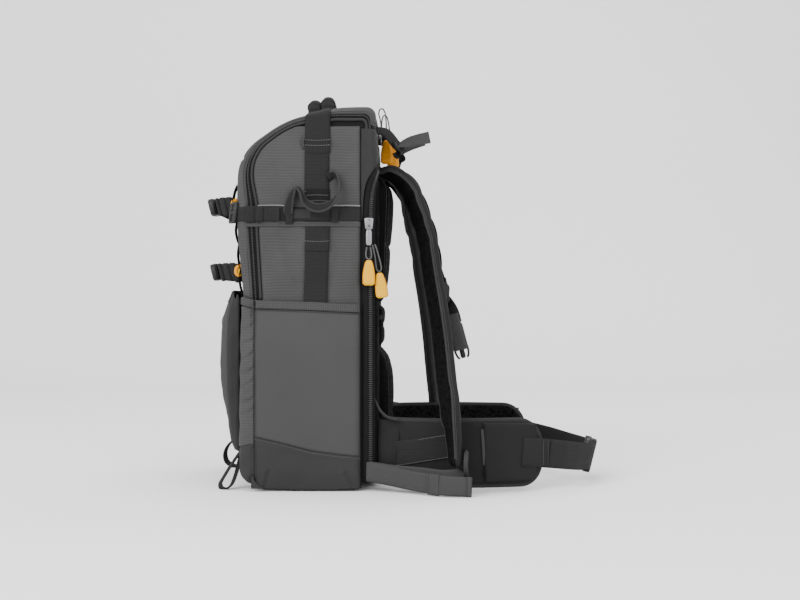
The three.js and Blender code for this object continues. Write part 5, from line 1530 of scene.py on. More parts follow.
# Shoulder straps: mesh inside, smooth cloth outside, piped edges
strapRows = [
    (78.66, -52.2, 412.82, 62, 14.4), (91.62, -53.94, 412.82, 62, 14.4), (103.5, -57.42, 408.67, 66, 16),
    (121.32, -66.12, 390.83, 66, 16), (134.28, -78.3, 360.96, 66, 16), (145.08, -88.74, 324.86, 66, 16),
    (152.1, -100.05, 280.05, 66, 16), (159.12, -110.49, 236.08, 66, 16), (164.52, -120.93, 195, 66, 16),
    (168.3, -133.11, 155.17, 64, 16), (172.08, -149.64, 120.32, 58, 16), (175.32, -171.39, 92.11, 47.5, 15.2),
    (177.48, -172.26, 62.23, 38.3, 12.8), (178.56, -174, 39.83, 30.4, 9.6), (178.7, -174.2, 36.5, 26, 6),
]
strapSettings = {"turn": 13.0, "lag": 9.0, "height": 414.9, "steps": 170, "around": 44, "meshFrom": 26,
                 "power": 3.0}


def strapRings(side):
    s = strapSettings
    t = smoothLine(strapRows, s["steps"])
    t = np.column_stack([t[:, :3], np.interp(np.linspace(0, 1, s["steps"]), np.linspace(0, 1, len(t)),
                                             t[:, 3]), t[:, 4]])
    lag = 0.0 if side > 0 else s["lag"]
    line = t[:, :3].copy()
    line[:, 0] -= lag * np.minimum(1, (1 - line[:, 2] / s["height"]) * 6).clip(0, 1)
    line[:, 1] *= side
    turn = math.radians(s["turn"])
    sideways = (-math.sin(turn), side * math.cos(turn), 0)
    _, sideWay, outWay = framesAlong(line, sideways)
    inner = np.where((outWay[:, 0] < 0)[:, None], outWay, -outWay)
    walked = arcLengths(line[:, None, :], 0)[:, 0]
    folds = sum(d * np.exp(-(((walked - at) / w) ** 2)) for at, d, w in
                ((46, 1.6, 5), (74, 2.0, 5), (104, 2.4, 5), (137, 2.0, 5), (300, 0.7, 5), (344, 1.0, 6)))
    angles = np.linspace(0, 2 * math.pi, s["around"], endpoint=False)
    cos, sin = np.cos(angles), np.sin(angles)
    across = np.sign(cos) * np.abs(cos) ** (2 / s["power"])
    deep = np.sign(sin) * np.abs(sin) ** (2 / s["power"])
    half, thick = t[:, 3] / 2, t[:, 4] / 2
    ends = np.clip(np.minimum(walked, walked[-1] - walked) / 5, 0, 1) ** 0.5
    rings = np.zeros((s["steps"], s["around"], 3))
    for i in range(s["steps"]):
        h = thick[i] * (0.55 + 0.45 * ends[i])
        up = np.where(deep > 0, h * 1.06 - folds[i] * (0.6 + 0.4 * np.abs(across)), h * 0.94)
        rings[i] = line[i] + sideWay[i] * (half[i] * across)[:,
                None] * (0.9 + 0.1 * ends[i]) + inner[i] * (up * deep)[:, None]
    wobble = 0.35 * ripple(rings, 34, 111) + 0.2 * ripple(rings, 15, 112)
    rings += unit(rings - line[:, None, :]) * wobble[..., None]
    return rings, line, sideWay, inner, t, walked, angles


for side, name in bagSides:
    rings, line, sideWay, inner, t, walked, angles = strapRings(side)
    degrees = np.degrees(angles) + 180 / strapSettings["around"]
    isMesh = (degrees > strapSettings["meshFrom"]) & (degrees < 180 - strapSettings["meshFrom"])
    kinds = np.where(isMesh, 0, 1)
    strap = loft("shoulder_strap_" + name, rings, [airMesh, strapCloth], ringMaterials=kinds)
    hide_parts("shoulder_strap_" + name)
    outward = unit(rings - line[:, None, :])
    first = int(np.argmax(isMesh))
    last = len(isMesh) - int(np.argmax(isMesh[::-1]))
    for k, ring in enumerate((first, last % strapSettings["around"])):
        edge = rings[2:-3, ring] + outward[2:-3, ring] * 0.7
        tube("strap_piping_%s_%d" % (name, k), smoothLine(edge[::3], 150), 1.5, 8, binding)
        beside = ring - 2 if k == 0 else (ring + 2) % strapSettings["around"]
        stitch("grey", rings[4:-5, beside] + outward[4:-5, beside] * 0.3, outward[4:-5, beside])
    # Webbing rail down the outer face
    keep = (line[:, 2] < 402) & (line[:, 2] > 262)
    bump = np.abs(np.sin((walked[keep] - walked[keep][0]) / 34 * math.pi)) ** 0.7 * 2.2
    rail = line[keep] - inner[keep] * (t[keep, 4:5] / 2 * 0.94 + 1.0 + bump[:, None]) + sideWay[keep] * (-7.0)
    webbing("strap_rail_" + name, rail, sideWay[keep], 20, 1.6, darkWeb, wave=0.15, seed=113)
    lowKeep = (line[:, 2] < 236) & (line[:, 2] > 60)
    lowRail = line[lowKeep] - inner[lowKeep] * (t[lowKeep, 4:5] / 2 * 0.94 + 0.8)
    webbing("strap_lower_rail_" + name, lowRail, sideWay[lowKeep], 20, 1.5, darkWeb, wave=0.3, seed=114)
    for shift in (-8.2, 8.2):
        stitch("grey", lowRail + sideWay[lowKeep] * shift - inner[lowKeep] * 1.0, -inner[lowKeep])
    # Tongue of webbing through the ladder buckle
    lag = 0 if side > 0 else 9
    tongue = lineOf((178.2 - lag, -174 * side, 60), (180.5 - lag, -174 * side, 46),
                    (185 - lag, -174 * side, 42),
                    (191.5 - lag, -174.2 * side, 46.5), (195.2 - lag, -174.5 * side, 42),
                    (191, -175 * side, 32), count=40)
    webbing("strap_tongue_" + name, tongue[:], (0, 1, 0), 19, 1.5, darkWeb, wave=0.1)

    # Ladder buckle
    middle = np.array([191.56 - lag, -174.0 * side, 39.83])
    parts = []
    for y in (-12.6, 12.6):
        parts.append(barPart([middle + (0.6, y, -16), middle + (-0.4, y, 0), middle + (0.6, y, 16)], 3.2,
                             6.0, (0, 1, 0), 1.3))
    for z, x in ((-15, 0.6), (-5.4, -0.2), (5.4, -0.2), (15, 0.9)):
        parts.append(barPart([middle + (x, -13.4, z), middle + (x - 0.4, 0, z), middle + (x, 13.4, z)], 3.6,
                             4.2, (0, 0, 1), 1.5))
    lock = joinParts("ladder_lock_" + name, parts, [blackPlastic])
    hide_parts("ladder_lock_" + name)

    # Chest strap: slider, hanging webbing and a buckle half
    root = np.array([167.52 - lag, -103.66 * side, 255.09])
    alongWay = unit(np.array([0.15, -0.23 * side, -0.96]))
    acrossWay = unit(np.array([-0.19, 0.95 * side, -0.26]))
    outWay = unit(np.cross(alongWay, acrossWay))
    outWay = outWay if outWay[0] > 0 else -outWay
    parts = [slabPart(roundedShape(25, 34, 4), 3.0, 0.9, root - outWay * 1.2, acrossWay, alongWay)]
    for d in (-14, 14):
        parts.append(barPart([root - acrossWay * 11.5 + alongWay * d + outWay * 0.4,
                              root + alongWay * d + outWay * 1.6,
                              root + acrossWay * 11.5 + alongWay * d + outWay * 0.4], 4.4, 3.6, alongWay,
                              1.5))
    for d in (-11.2, 11.2):
        parts.append(barPart([root + acrossWay * d - alongWay * 15 + outWay * 0.6,
                              root + acrossWay * d + outWay * 1.2,
                              root + acrossWay * d + alongWay * 15 + outWay * 0.6], 3.4, 3.6, acrossWay, 1.4))
    hangLine = lineOf(root + outWay * 1.4 + alongWay * -8, root + outWay * 3.2 + (0.5, 0, 4),
                      root + outWay * 2.4 + (1.5, -0.2 * side, -8),
                      root + (7.4, -1.0 * side, -20), root + (11, -2.2 * side, -32),
                      root + (13.2, -3 * side, -41), count=50)
    turnedWay = unit(np.array([0.95, -0.16 * side, 0.26]))
    share = np.clip((np.linspace(0, 1, 50) - 0.3) / 0.5, 0, 1)[:, None]
    _, hangSide, hangOut = framesAlong(hangLine, acrossWay * (1 - share) * -side + turnedWay * share)
    strapRing = []
    for p, s, o in zip(hangLine, hangSide, hangOut):
        shape = roundedShape(19.5, 2.4, 1.1, 4)
        strapRing.append(p + shape[:, :1] * s + shape[:, 1:] * o)
    parts.append(ringsPart(strapRing))
    chest = joinParts("chest_strap_" + name, parts, [blackPlastic, darkWeb],
                      [0] * (len(parts) - 1) + [1])
    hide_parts("chest_strap_" + name)
    hang = unit(np.array([0.27, 0, -1.0]))
    start = root + np.array([13, -3.0 * side, -40.9])
    acrossWay = turnedWay
    face = unit(np.cross(hang, acrossWay))
    face = face if face[1] * side < 0 else -face
    parts = [
        slabPart([(-8, -1), (8, -1), (9.6, 2), (9.6, 27), (8.2, 30), (-8.2, 30), (-9.6, 27), (-9.6, 2)],
                 7.4, 1.6, start + hang * 2.0, acrossWay, hang),
        slabPart([(-3.0, 29), (3.0, 29), (3.4, 44), (2.0, 46.5), (-2.0, 46.5), (-3.4, 44)], 3.6, 1.0,
                 start + hang * 0.5, acrossWay, hang),
        barPart([start - acrossWay * 9 + hang * 3, start + hang * 3 + face * 0.8,
                 start + acrossWay * 9 + hang * 3], 4.2, 5.6, hang, 1.6),
        slabPart(roundedShape(11, 12, 3), 1.6, 0.6, start + hang * 17 + face * 3.8, acrossWay, hang),
    ]
    for d in (-1, 1):
        prong = [start + acrossWay * 8 * d + hang * 28, start + acrossWay * 8.6 * d + hang * 36,
                 start + acrossWay * 7.6 * d + hang * 43, start + acrossWay * 5.2 * d + hang * 47]
        parts.append(barPart(smoothLine(prong, 12), 2.8, 4.4, acrossWay, 1.2))
    half = joinParts("chest_buckle_" + name, parts, [blackPlastic])
    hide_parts("chest_buckle_" + name)

    # The strap's free end hangs flat over the buckle half
    endLine = lineOf(start + face * 7.2 - hang * 12, start + face * 7.8 + hang * 4,
                     start + face * 7.6 + hang * 20,
                     start + face * 7.4 + hang * 36, count=30)
    webbing("chest_tail_" + name, endLine, acrossWay, 18, 1.8, paleWeb, wave=0.2,
            seed=119)

    # Load lifter: webbing from the yoke to its buckle bar, and the free tail
    lifterLine = lineOf((73.9, -56.5 * side, 470.6), (79, -56.5 * side, 470.2), (91.3, -56.5 * side, 467.1),
                        (103.3, -58.5 * side, 452.9),
                        (112.4, -59.5 * side, 441), (108.6, -59.3 * side, 437),
                        (105.4, -59.2 * side, 441.5), count=60)
    lifterPiece = webbing("load_lifter_" + name, lifterLine, (0.42, 0.72 * side, 0.5), 20, 2.1, darkWeb,
                          wave=0.2, seed=115)
    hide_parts("load_lifter_" + name)
    rise = 0 if side > 0 else 11
    tailLine = lineOf((104.6, -59.0 * side, 447.2), (112, -59.5 * side, 451 + 0.4 * rise),
                      (121.4, -59.8 * side, 454 + 0.8 * rise),
                      (135, -60.6 * side, 457.4 + rise), (149.6 - 0.5 * rise, -61.6 * side, 460.4 + rise),
                      count=50)
    lean = np.array([[0.05, 0.9 * side, 0.2], [-0.1, 0.7 * side, 0.65], [-0.16, 0.35 * side, 0.92],
                     [-0.16, 0.25 * side, 0.95], [-0.16, 0.2 * side, 0.97]])
    leanAt = np.stack([np.interp(np.linspace(0, 1, 50), np.linspace(0, 1, 5), lean[:, i])
                       for i in range(3)], axis=1)
    webbing("load_lifter_tail_" + name, tailLine, leanAt, 16.5, 1.8, paleWeb,
            wave=0.25, seed=116)
    bar = [(107.5, -48.5 * side, 444), (107.7, -59.5 * side, 444.4), (107.5, -70.5 * side, 444)]
    joinParts("lifter_buckle_" + name, [
        barPart(np.array(bar), 4.2, 5.2, (1, 0, 0), 1.8),
        barPart(np.array(bar) + (-5.2, 0, 7.6), 3.6, 4.2, (1, 0, 0), 1.5),
        barPart([(107.5, -48.8 * side, 443), (102.4, -48.8 * side, 452)], 3.2, 4.4, (0, 1, 0), 1.3),
        barPart([(107.5, -70.2 * side, 443), (102.4, -70.2 * side, 452)], 3.2, 4.4, (0, 1, 0), 1.3),
    ], [blackPlastic])
print("harness made")

# Hip wings: padded, curved in plan, bound all round; smooth outside and mesh inside
wingRows = [(0.01, 0.715), (0.11, 0.9), (0.3, 0.985), (0.56, 1), (0.8, 0.945), (0.88, 0.915), (0.94, 0.885),
            (1, 0.85)]
wingSettings = {"length": 206.0, "spread": 138.0, "low": 8.0, "high": 90.0, "thick": 14.0, "start": 83.9,
                "round": (31.0, 27.0)}


def wingLine(side):
    s = wingSettings
    return smoothLine([(s["start"] + x * s["length"], -side * y * s["spread"], 0) for x, y in wingRows], 240)


def wingEdges(walked, whole):
    s = wingSettings
    top, bottom = s["round"]
    left = whole - walked
    high = np.where(left < top, s["high"] - top + np.sqrt(np.maximum(top ** 2 - (top - left) ** 2, 0)),
                    s["high"])
    low = np.where(left < bottom, s["low"] + bottom
                   - np.sqrt(np.maximum(bottom ** 2 - (bottom - left) ** 2, 0)), s["low"])
    rise = np.clip(1 - walked / 34, 0, 1) ** 2
    return low + 6 * rise, high + 1.5 * rise


def wingPoint(line, normal, walked, at, z, out):
    p = np.stack([np.interp(at, walked, line[:, i]) for i in range(3)], axis=-1)
    n = unit(np.stack([np.interp(at, walked, normal[:, i]) for i in range(3)], axis=-1))
    return p * (1, 1, 0) + n * np.asarray(out)[..., None] + np.asarray(z)[..., None] * np.array([0, 0, 1.0])


for side, name in bagSides:
    line = wingLine(side)
    walked = arcLengths(line[:, None, :], 0)[:, 0]
    whole = walked[-1]
    normal = unit(np.cross(np.gradient(line, axis=0), (0, 0, 1.0)))
    normal = normal if normal[120, 1] * side < 0 else -normal
    us = np.concatenate([np.linspace(0, whole - 32, 96),
                         whole - 31 * (1 - np.sin(np.linspace(0.02, math.pi / 2, 26)))])
    us[-1] = whole - 0.02
    vs = np.sin(np.linspace(-math.pi / 2, math.pi / 2, 54)) * 0.5 + 0.5
    low, high = wingEdges(us, whole)
    z = low[:, None] + (high - low)[:, None] * vs
    at = np.broadcast_to(us[:, None], z.shape)
    flat = np.stack([at, z], axis=-1)
    near = np.minimum(np.minimum(z - low[:, None], high[:, None] - z), np.maximum(whole - at, 0))
    rim = np.sqrt(1 - (1 - np.clip(near / 9, 0, 1)) ** 2)
    puffed = 0.7 * ripple(flat @ np.array([[1, 0, 0], [0, 0, 1.0]]), 52,
                          121) + 0.35 * ripple(flat @ np.array([[1, 0, 0], [0, 0, 1.0]]), 22, 122)
    outer = wingPoint(line, normal, walked, at, z, 1.6 + 5.0 * rim + puffed * rim)
    inner = wingPoint(line, normal, walked, at, z, -1.6 - (5.2 + 0.5 * puffed) * rim)
    wing = shell("hip_wing_" + name, outer, inner, [strapCloth, airMesh], uv=flat, rimMaterial=1,
                 slot="strap_cloth")
    puffHeld = [i for i in range(2 * outer.shape[0] * outer.shape[1]) if near.ravel()[i % near.size] < 8]
    puff(wing, puffHeld, 1.6, 1.6, 10)
    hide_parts("hip_wing_" + name)

    # Edge binding and its stitches
    edgeAt = np.concatenate([us[2:], us[::-1][:-2]])
    edgeZ = np.concatenate([high[2:], low[::-1][:-2]])
    route = evenLine(np.stack([edgeAt, edgeZ], axis=1), 260)
    middle = route.mean(axis=0)
    bindLine = wingPoint(line, normal, walked, route[:, 0], route[:, 1], np.zeros(260))
    across = np.stack([np.interp(route[:, 0], walked, normal[:, i]) for i in range(3)], axis=1)
    tube("wing_binding_" + name, bindLine, 4.3, 16, yokeCloth, flat=0.82, sideways=across)
    for inset, out in ((2.2, 4.2), (2.2, -4.2)):
        flatIn = sideOf(route, inset)
        test = sideOf(route, -inset)
        flatIn = flatIn if abs(flatIn[80, 1] - 49) < abs(test[80, 1] - 49) else test
        seam = wingPoint(line, normal, walked, np.clip(flatIn[:, 0], 0, whole), flatIn[:, 1],
                         np.full(260, out))
        stitch("grey", seam[4:-4], across[4:-4] * (1 if out > 0 else -1))

    def wingPatch(nameHere, corners, rows, columns, low, high, rimWidth, material, lift=None,
                  slot="strap_cloth"):
        (a0, z0), (a1, z1), (a2, z2), (a3, z3) = corners
        u = np.linspace(0, 1, columns)[:, None]
        v = np.linspace(0, 1, rows)[None, :]
        a = (a0 * (1 - u) + a1 * u) * (1 - v) + (a3 * (1 - u) + a2 * u) * v
        zz = (z0 * (1 - u) + z1 * u) * (1 - v) + (z3 * (1 - u) + z2 * u) * v
        base = wingPoint(line, normal, walked, a, zz, np.full(a.shape, 6.4))
        return clothOn(nameHere, base, (0, -side, 0), low, high, rimWidth, [material],
                       uv=np.stack([a, zz], axis=-1),
                       lift=lift(a, zz) if lift else None, slot=slot)

    # Distances along the wing for places read off the photograph
    def walkAt(x):
        return float(np.interp(x, line[:, 0], walked))

    def pocketLift(a, zz):
        flatHere = np.stack([a, np.zeros_like(a), zz], axis=-1)
        return 3.4 + 0.9 * ripple(flatHere, 36, 125) - 0.8 * np.exp(-(((a - walkAt(279)) / 2.5) ** 2))

    wingPatch("wing_pocket_" + name,
              [(walkAt(216), 12), (whole - 8, 14), (whole - 8, 86), (walkAt(214), 88)], 46, 50, -1.4, 1.2,
              3.0,
              strapCloth, pocketLift)
    wingPatch("wing_pocket_slot_" + name,
              [(walkAt(213), 17), (walkAt(221.6), 15), (walkAt(221.6), 84), (walkAt(211), 83)], 30, 8, -1.0,
              -0.3, 1.0,
              innerClothAndShade)
    slotLine = wingPoint(line, normal, walked, walkAt(213.4) + np.linspace(0, 2.5, 24),
                         np.linspace(80, 34, 24), 7.8 + 1.2 * np.sin(np.linspace(0, math.pi, 24)))
    webbing("wing_pocket_pull_" + name, slotLine, normal[100] * 0.3 + np.gradient(line, axis=0)[100] * 3,
            4.2, 1.4, paleWeb)
    edgeLine = wingPoint(line, normal, walked, np.full(30, walkAt(222.4)), np.linspace(15, 85, 30),
                         np.full(30, 7.6))
    tube("wing_pocket_edge_" + name, edgeLine, 1.5, 8, binding)
    xs = np.linspace(walkAt(227), whole - 13, 50)
    for share in (0.06, 0.94):
        zs = np.interp(xs, [walkAt(222), whole - 9], [13, 34]) * (1 - share) + np.interp(xs,
                [walkAt(222), whole - 9], [86, 66]) * share
        stitch("dark", wingPoint(line, normal, walked, xs, zs, np.full(50, 8.2)),
               np.stack([np.interp(xs, walked, normal[:, i]) for i in range(3)], axis=1))

    def flapLift(a, zz):
        return 1.4 + 2.2 * np.exp(-(((zz - 62) / 12) ** 2)) * np.clip((walkAt(150) - a) / 60, 0, 1)

    wingPatch("wing_flap_" + name, [(walkAt(104), 30), (walkAt(172), 43), (walkAt(173), 75),
                                    (walkAt(99), 62)], 34, 50, -1.2, 0.8, 1.6,
              darkWeb, flapLift, "pale_webbing")
    for (x0, z0), (x1, z1) in (((105, 32), (170, 44.6)), ((101, 60), (171, 73)), ((103, 32), (99.5, 60))):
        ss = np.linspace(0, 1, 40)
        at2 = walkAt(x0) * (1 - ss) + walkAt(x1) * ss
        stitch("pale", wingPoint(line, normal, walked, at2, z0 * (1 - ss) + z1 * ss, np.full(40, 8.9)),
               np.stack([np.interp(at2, walked, normal[:, i]) for i in range(3)], axis=1))
    # Cloth gusset between the bag's corner and the wing, and its piped edge above
    gusset = []
    for s in np.linspace(0, 1, 22):
        top = np.array([76, -118 * side, 92]) * (1 - s) + np.array([112, -133 * side, 88]) * s
        foot = np.array([77, -121 * side, 20]) * (1 - s) + np.array([104, -134.5 * side, 17]) * s
        bow = np.array([0.3, -1.0 * side, 0]) * 5.5 * math.sin(s * math.pi)
        gusset.append([top * (1 - v) + foot * v + bow * (0.5 + 0.5 * math.sin(v * math.pi))
                       for v in np.linspace(0, 1, 30)])
    gusset = np.array(gusset)
    clothOn("wing_root_" + name, gusset, (0.2, -side, 0), -1.4, 0.6, 2, [strapCloth],
            lift=0.9 * ripple(gusset, 26, 127), slot="strap_cloth")
    piping = lineOf((75.5, -128 * side, 122), (80, -128.6 * side, 111), (86, -130 * side, 101),
                    (96, -134.4 * side, 93.4), (108, -139.5 * side, 91), count=50)
    webbing("wing_root_piping_" + name, piping, (0.3, -0.9 * side, 0.2), 6.5, 2.6, binding)

    # Belt webbing from under the wing's pocket to the closed buckle
    beltLine = []
    beltLean = []
    for x, y, drop, lean in ((-0.3, 0.925, 0, 0), (-0.154, 0.89, 0.06, 0.05), (0.013, 0.845, 0.14, 0.1),
                             (0.192, 0.765, 0.26, 0.15),
                             (0.487, 0.572, 0.51, 0.3), (0.769, 0.318, 0.8, 0.7), (0.93, 0.143, 0.94, 0.95),
                             (1.0, 0.02, 1, 1)):
        beltLine.append((289.9 + x * 78, -side * (27.9 + y * 119.3), 50.64 - drop * 17.64))
        beltLean.append(lean * 0.249)
    beltPath = smoothLine(beltLine, 120)
    leans = np.interp(np.linspace(0, 1, 120), np.linspace(0, 1, 8), beltLean)
    sideways = np.stack([leans, np.zeros(120), np.ones(120)], axis=1)
    belt = webbing("belt_webbing_" + name, beltPath, sideways, 37, 2.1, darkWeb, wave=0.5, seed=131)
    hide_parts("belt_webbing_" + name)
    backPath = beltPath[30:] + unit(np.cross(np.gradient(beltPath, axis=0), (0, 0, 1.0)))[30:] * (2.6
            if side < 0 else -2.6) * -1
    webbing("belt_webbing_double_" + name, backPath, sideways[30:], 35, 1.6, darkWeb, wave=0.4, seed=132)
    box = np.linspace(-14, 14, 24)
    for k in (22, 28):
        p = beltPath[k]
        n = unit(np.cross(np.gradient(beltPath, axis=0)[k], (0, 0, 1.0)))
        n = n if n[1] * side < 0 else -n
        stitch("grey", p + n * 1.6 + np.outer(box, (0, 0, 1.0)), n)

# Closed belt buckle, leaning a little
lean = math.radians(14)
buckleUp = np.array([math.sin(lean), 0, math.cos(lean)])
buckleOut = np.array([buckleUp[2], 0, -buckleUp[0]])
buckleAt = np.array([367.9, 0, 33.0])
across = np.array([0, 1.0, 0])
parts = [
    slabPart([(-25, -21), (-19, -23.6), (-7, -20.6), (4, -19.4), (8, -17), (8, 17), (4, 19.4), (-7, 20.6),
              (-19, 23.6), (-25, 21)], 10.4, 2.6, buckleAt, across, buckleUp),
    slabPart([(7, -13), (14, -14.6), (19, -22.6), (25, -21), (25, 21), (19, 22.6), (14, 14.6), (7, 13)],
             8.4, 2.2, buckleAt, across, buckleUp),
    slabPart(roundedShape(15, 20, 5), 1.6, 0.6, buckleAt + buckleOut * 5.4 - across * 9, across, buckleUp),
]
for d in (-26.2, 26.2):
    parts.append(barPart([buckleAt + across * d - buckleUp * 22, buckleAt + across * d,
                          buckleAt + across * d + buckleUp * 22], 4.0, 8.6, across, 1.8))
for d in (-17.8, 17.8):
    prong = [buckleAt + across * 4 + buckleUp * d * 0.98, buckleAt + across * 10 + buckleUp * d * 1.05,
             buckleAt + across * 16 + buckleUp * d * 0.98]
    parts.append(barPart(smoothLine(prong, 14), 4.2, 7.4, buckleUp, 1.8))
for d in (-21.5, -18.6, 17.5, 20.4):
    parts.append(barPart([buckleAt + across * d - buckleUp * 14 + buckleOut * 4.6,
                          buckleAt + across * d + buckleUp * 14 + buckleOut * 4.6], 1.3, 1.6, across, 0.5))
buckle = joinParts("belt_buckle_moulded", parts, [blackPlastic])
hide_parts("belt_buckle")

# Webbing from the bag's bottom corners: through the ladder buckle, folded at the corner, out as a tail
lowerRows = [(0.8, 0.62, 0.4), (0.55, 0.31, 0.5), (0.25, 0.13, 0.7), (0.03, 0, 1), (-0.02, 0.04, 1),
             (0.03, 0.09, 0.95),
             (0.25, 0.24, 0.5), (0.5, 0.54, 0.1), (0.8, 0.93, -0.15), (1.06, 1, -0.25)]
for side, name in bagSides:
    lag = 0 if side > 0 else 9
    run = 121.66 - lag
    route = [(191.0 - lag, -174 * side, 27), (187.0 - lag, -173.6 * side, 22.6)]
    route += [(69.9 + x * run, -side * (137.3 + y * 55), 15.5 + z * 10) for x, y, z in lowerRows]
    line = smoothLine(route, 220)
    lower = webbing("lower_webbing_" + name, line, (0.04, 0, 1), 24.5, 1.7, paleWeb,
                    wave=0.4, seed=135)
    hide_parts("lower_webbing_" + name)
    walked = arcLengths(line[:, None, :], 0)[:, 0]
    outWay = unit(np.cross(np.gradient(line, axis=0), (0, 0, 1.0)))
    # A folded keeper on the tail, and the hem at its end
    for a, b, out, tall in ((58, 41, 1.9, 26.6), (7, 0.8, 1.5, 24.8)):
        spots = np.linspace(walked[-1] - a, walked[-1] - b, 14)
        rows = []
        for s in spots:
            p = np.array([np.interp(s, walked, line[:, i]) for i in range(3)])
            n = unit(np.array([np.interp(s, walked, outWay[:, i]) for i in range(3)]))
            n = n if n[1] * side < 0 else -n
            rows.append([p + n * out + np.array([0, 0, 1.0]) * t
                         for t in np.linspace(-tall / 2, tall / 2, 16)])
        grid = np.array(rows)
        clothOn("lower_keeper_%s_%d" % (name, int(a)), grid, (0, -side, 0), -1.2, 0.9, 2, [paleWeb],
                uv=np.stack([grid[..., 2], grid[..., 0]], axis=-1), slot="pale_webbing")
        middleRow = grid[2] + (0, -side * 1.1, 0)
        stitch("dark", middleRow[1:-1], (0, -side, 0))
    for shift in (-9.8, 9.8):
        stitch("grey", lineOf(*[(x, y - side * 1.3, z + shift) for x, y, z in line[150:200:7]], count=30),
               (0, -side, 0))
print("hip belt made")


# Zip sliders with their tabs
def sliderPiece(name, middle, facing, down, tab, wide):
    facing, down = unit(np.array(facing, float)), unit(np.array(down, float))
    across = np.cross(facing, down)
    middle = np.array(middle, float)
    w = wide / 2
    bodyShape = [(-w, -6.6), (-w * 0.55, -7.4), (w * 0.55, -7.4), (w, -6.6),
                 (w * 0.8, 6.2), (w * 0.45, 7.2), (-w * 0.45, 7.2), (-w * 0.8, 6.2)]
    parts = [
        slabPart(bodyShape, 1.6, 0.5, middle - facing * 1.4, across, down),
        slabPart(bodyShape, 1.6, 0.5, middle + facing * 1.2, across, down),
        barPart(smoothLine([middle - down * 5 + facing * 1.4, middle - down * 3.4 + facing * 3.6,
                            middle + down * 1 + facing * 3.9, middle + down * 3.4 + facing * 1.6], 14), 3.2,
                            1.2, across, 0.5),
    ]
    hinge = middle + facing * 3.1 + down * 1.6
    ring = [hinge + across * 3.0 * math.cos(a) + down * (3.4 + 3.4 * math.sin(a))
            for a in np.linspace(0, 2 * math.pi, 25)]
    parts.append(barPart(ring, 1.3, 1.3, facing, 0.5))
    start = hinge + down * 6.4
    parts.append(slabPart([(-2.6, 0), (2.6, 0), (3.6, 3), (3.6, tab - 5), (2.4, tab - 2.4),
                           (-2.4, tab - 2.4), (-3.6, tab - 5), (-3.6, 3)], 1.7, 0.6, start + facing * 0.2,
                           across, down))
    eye = start + down * (tab - 5.6) + facing * 0.2
    parts.append(barPart([eye + across * 2.6 * math.cos(a) + down * 2.6 * math.sin(a) + facing * 0.4
                          for a in np.linspace(0, 2 * math.pi, 21)], 1.1, 1.6, facing, 0.5))
    return joinParts(name + "_metal", parts, [brightMetal])


backSlider = sliderPiece("back_slider", (70.4, -138.2, 341.2), (0, -1, 0), (0, 0, -1), 22, 11.4)
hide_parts("back_slider")
lidSlider = sliderPiece("lid_slider", (81.0, -29.9, 467.9), (1, 0, 0.05), (0, 0, -1), 9, 11.4)
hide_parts("lid_slider")
print("zip sliders made")

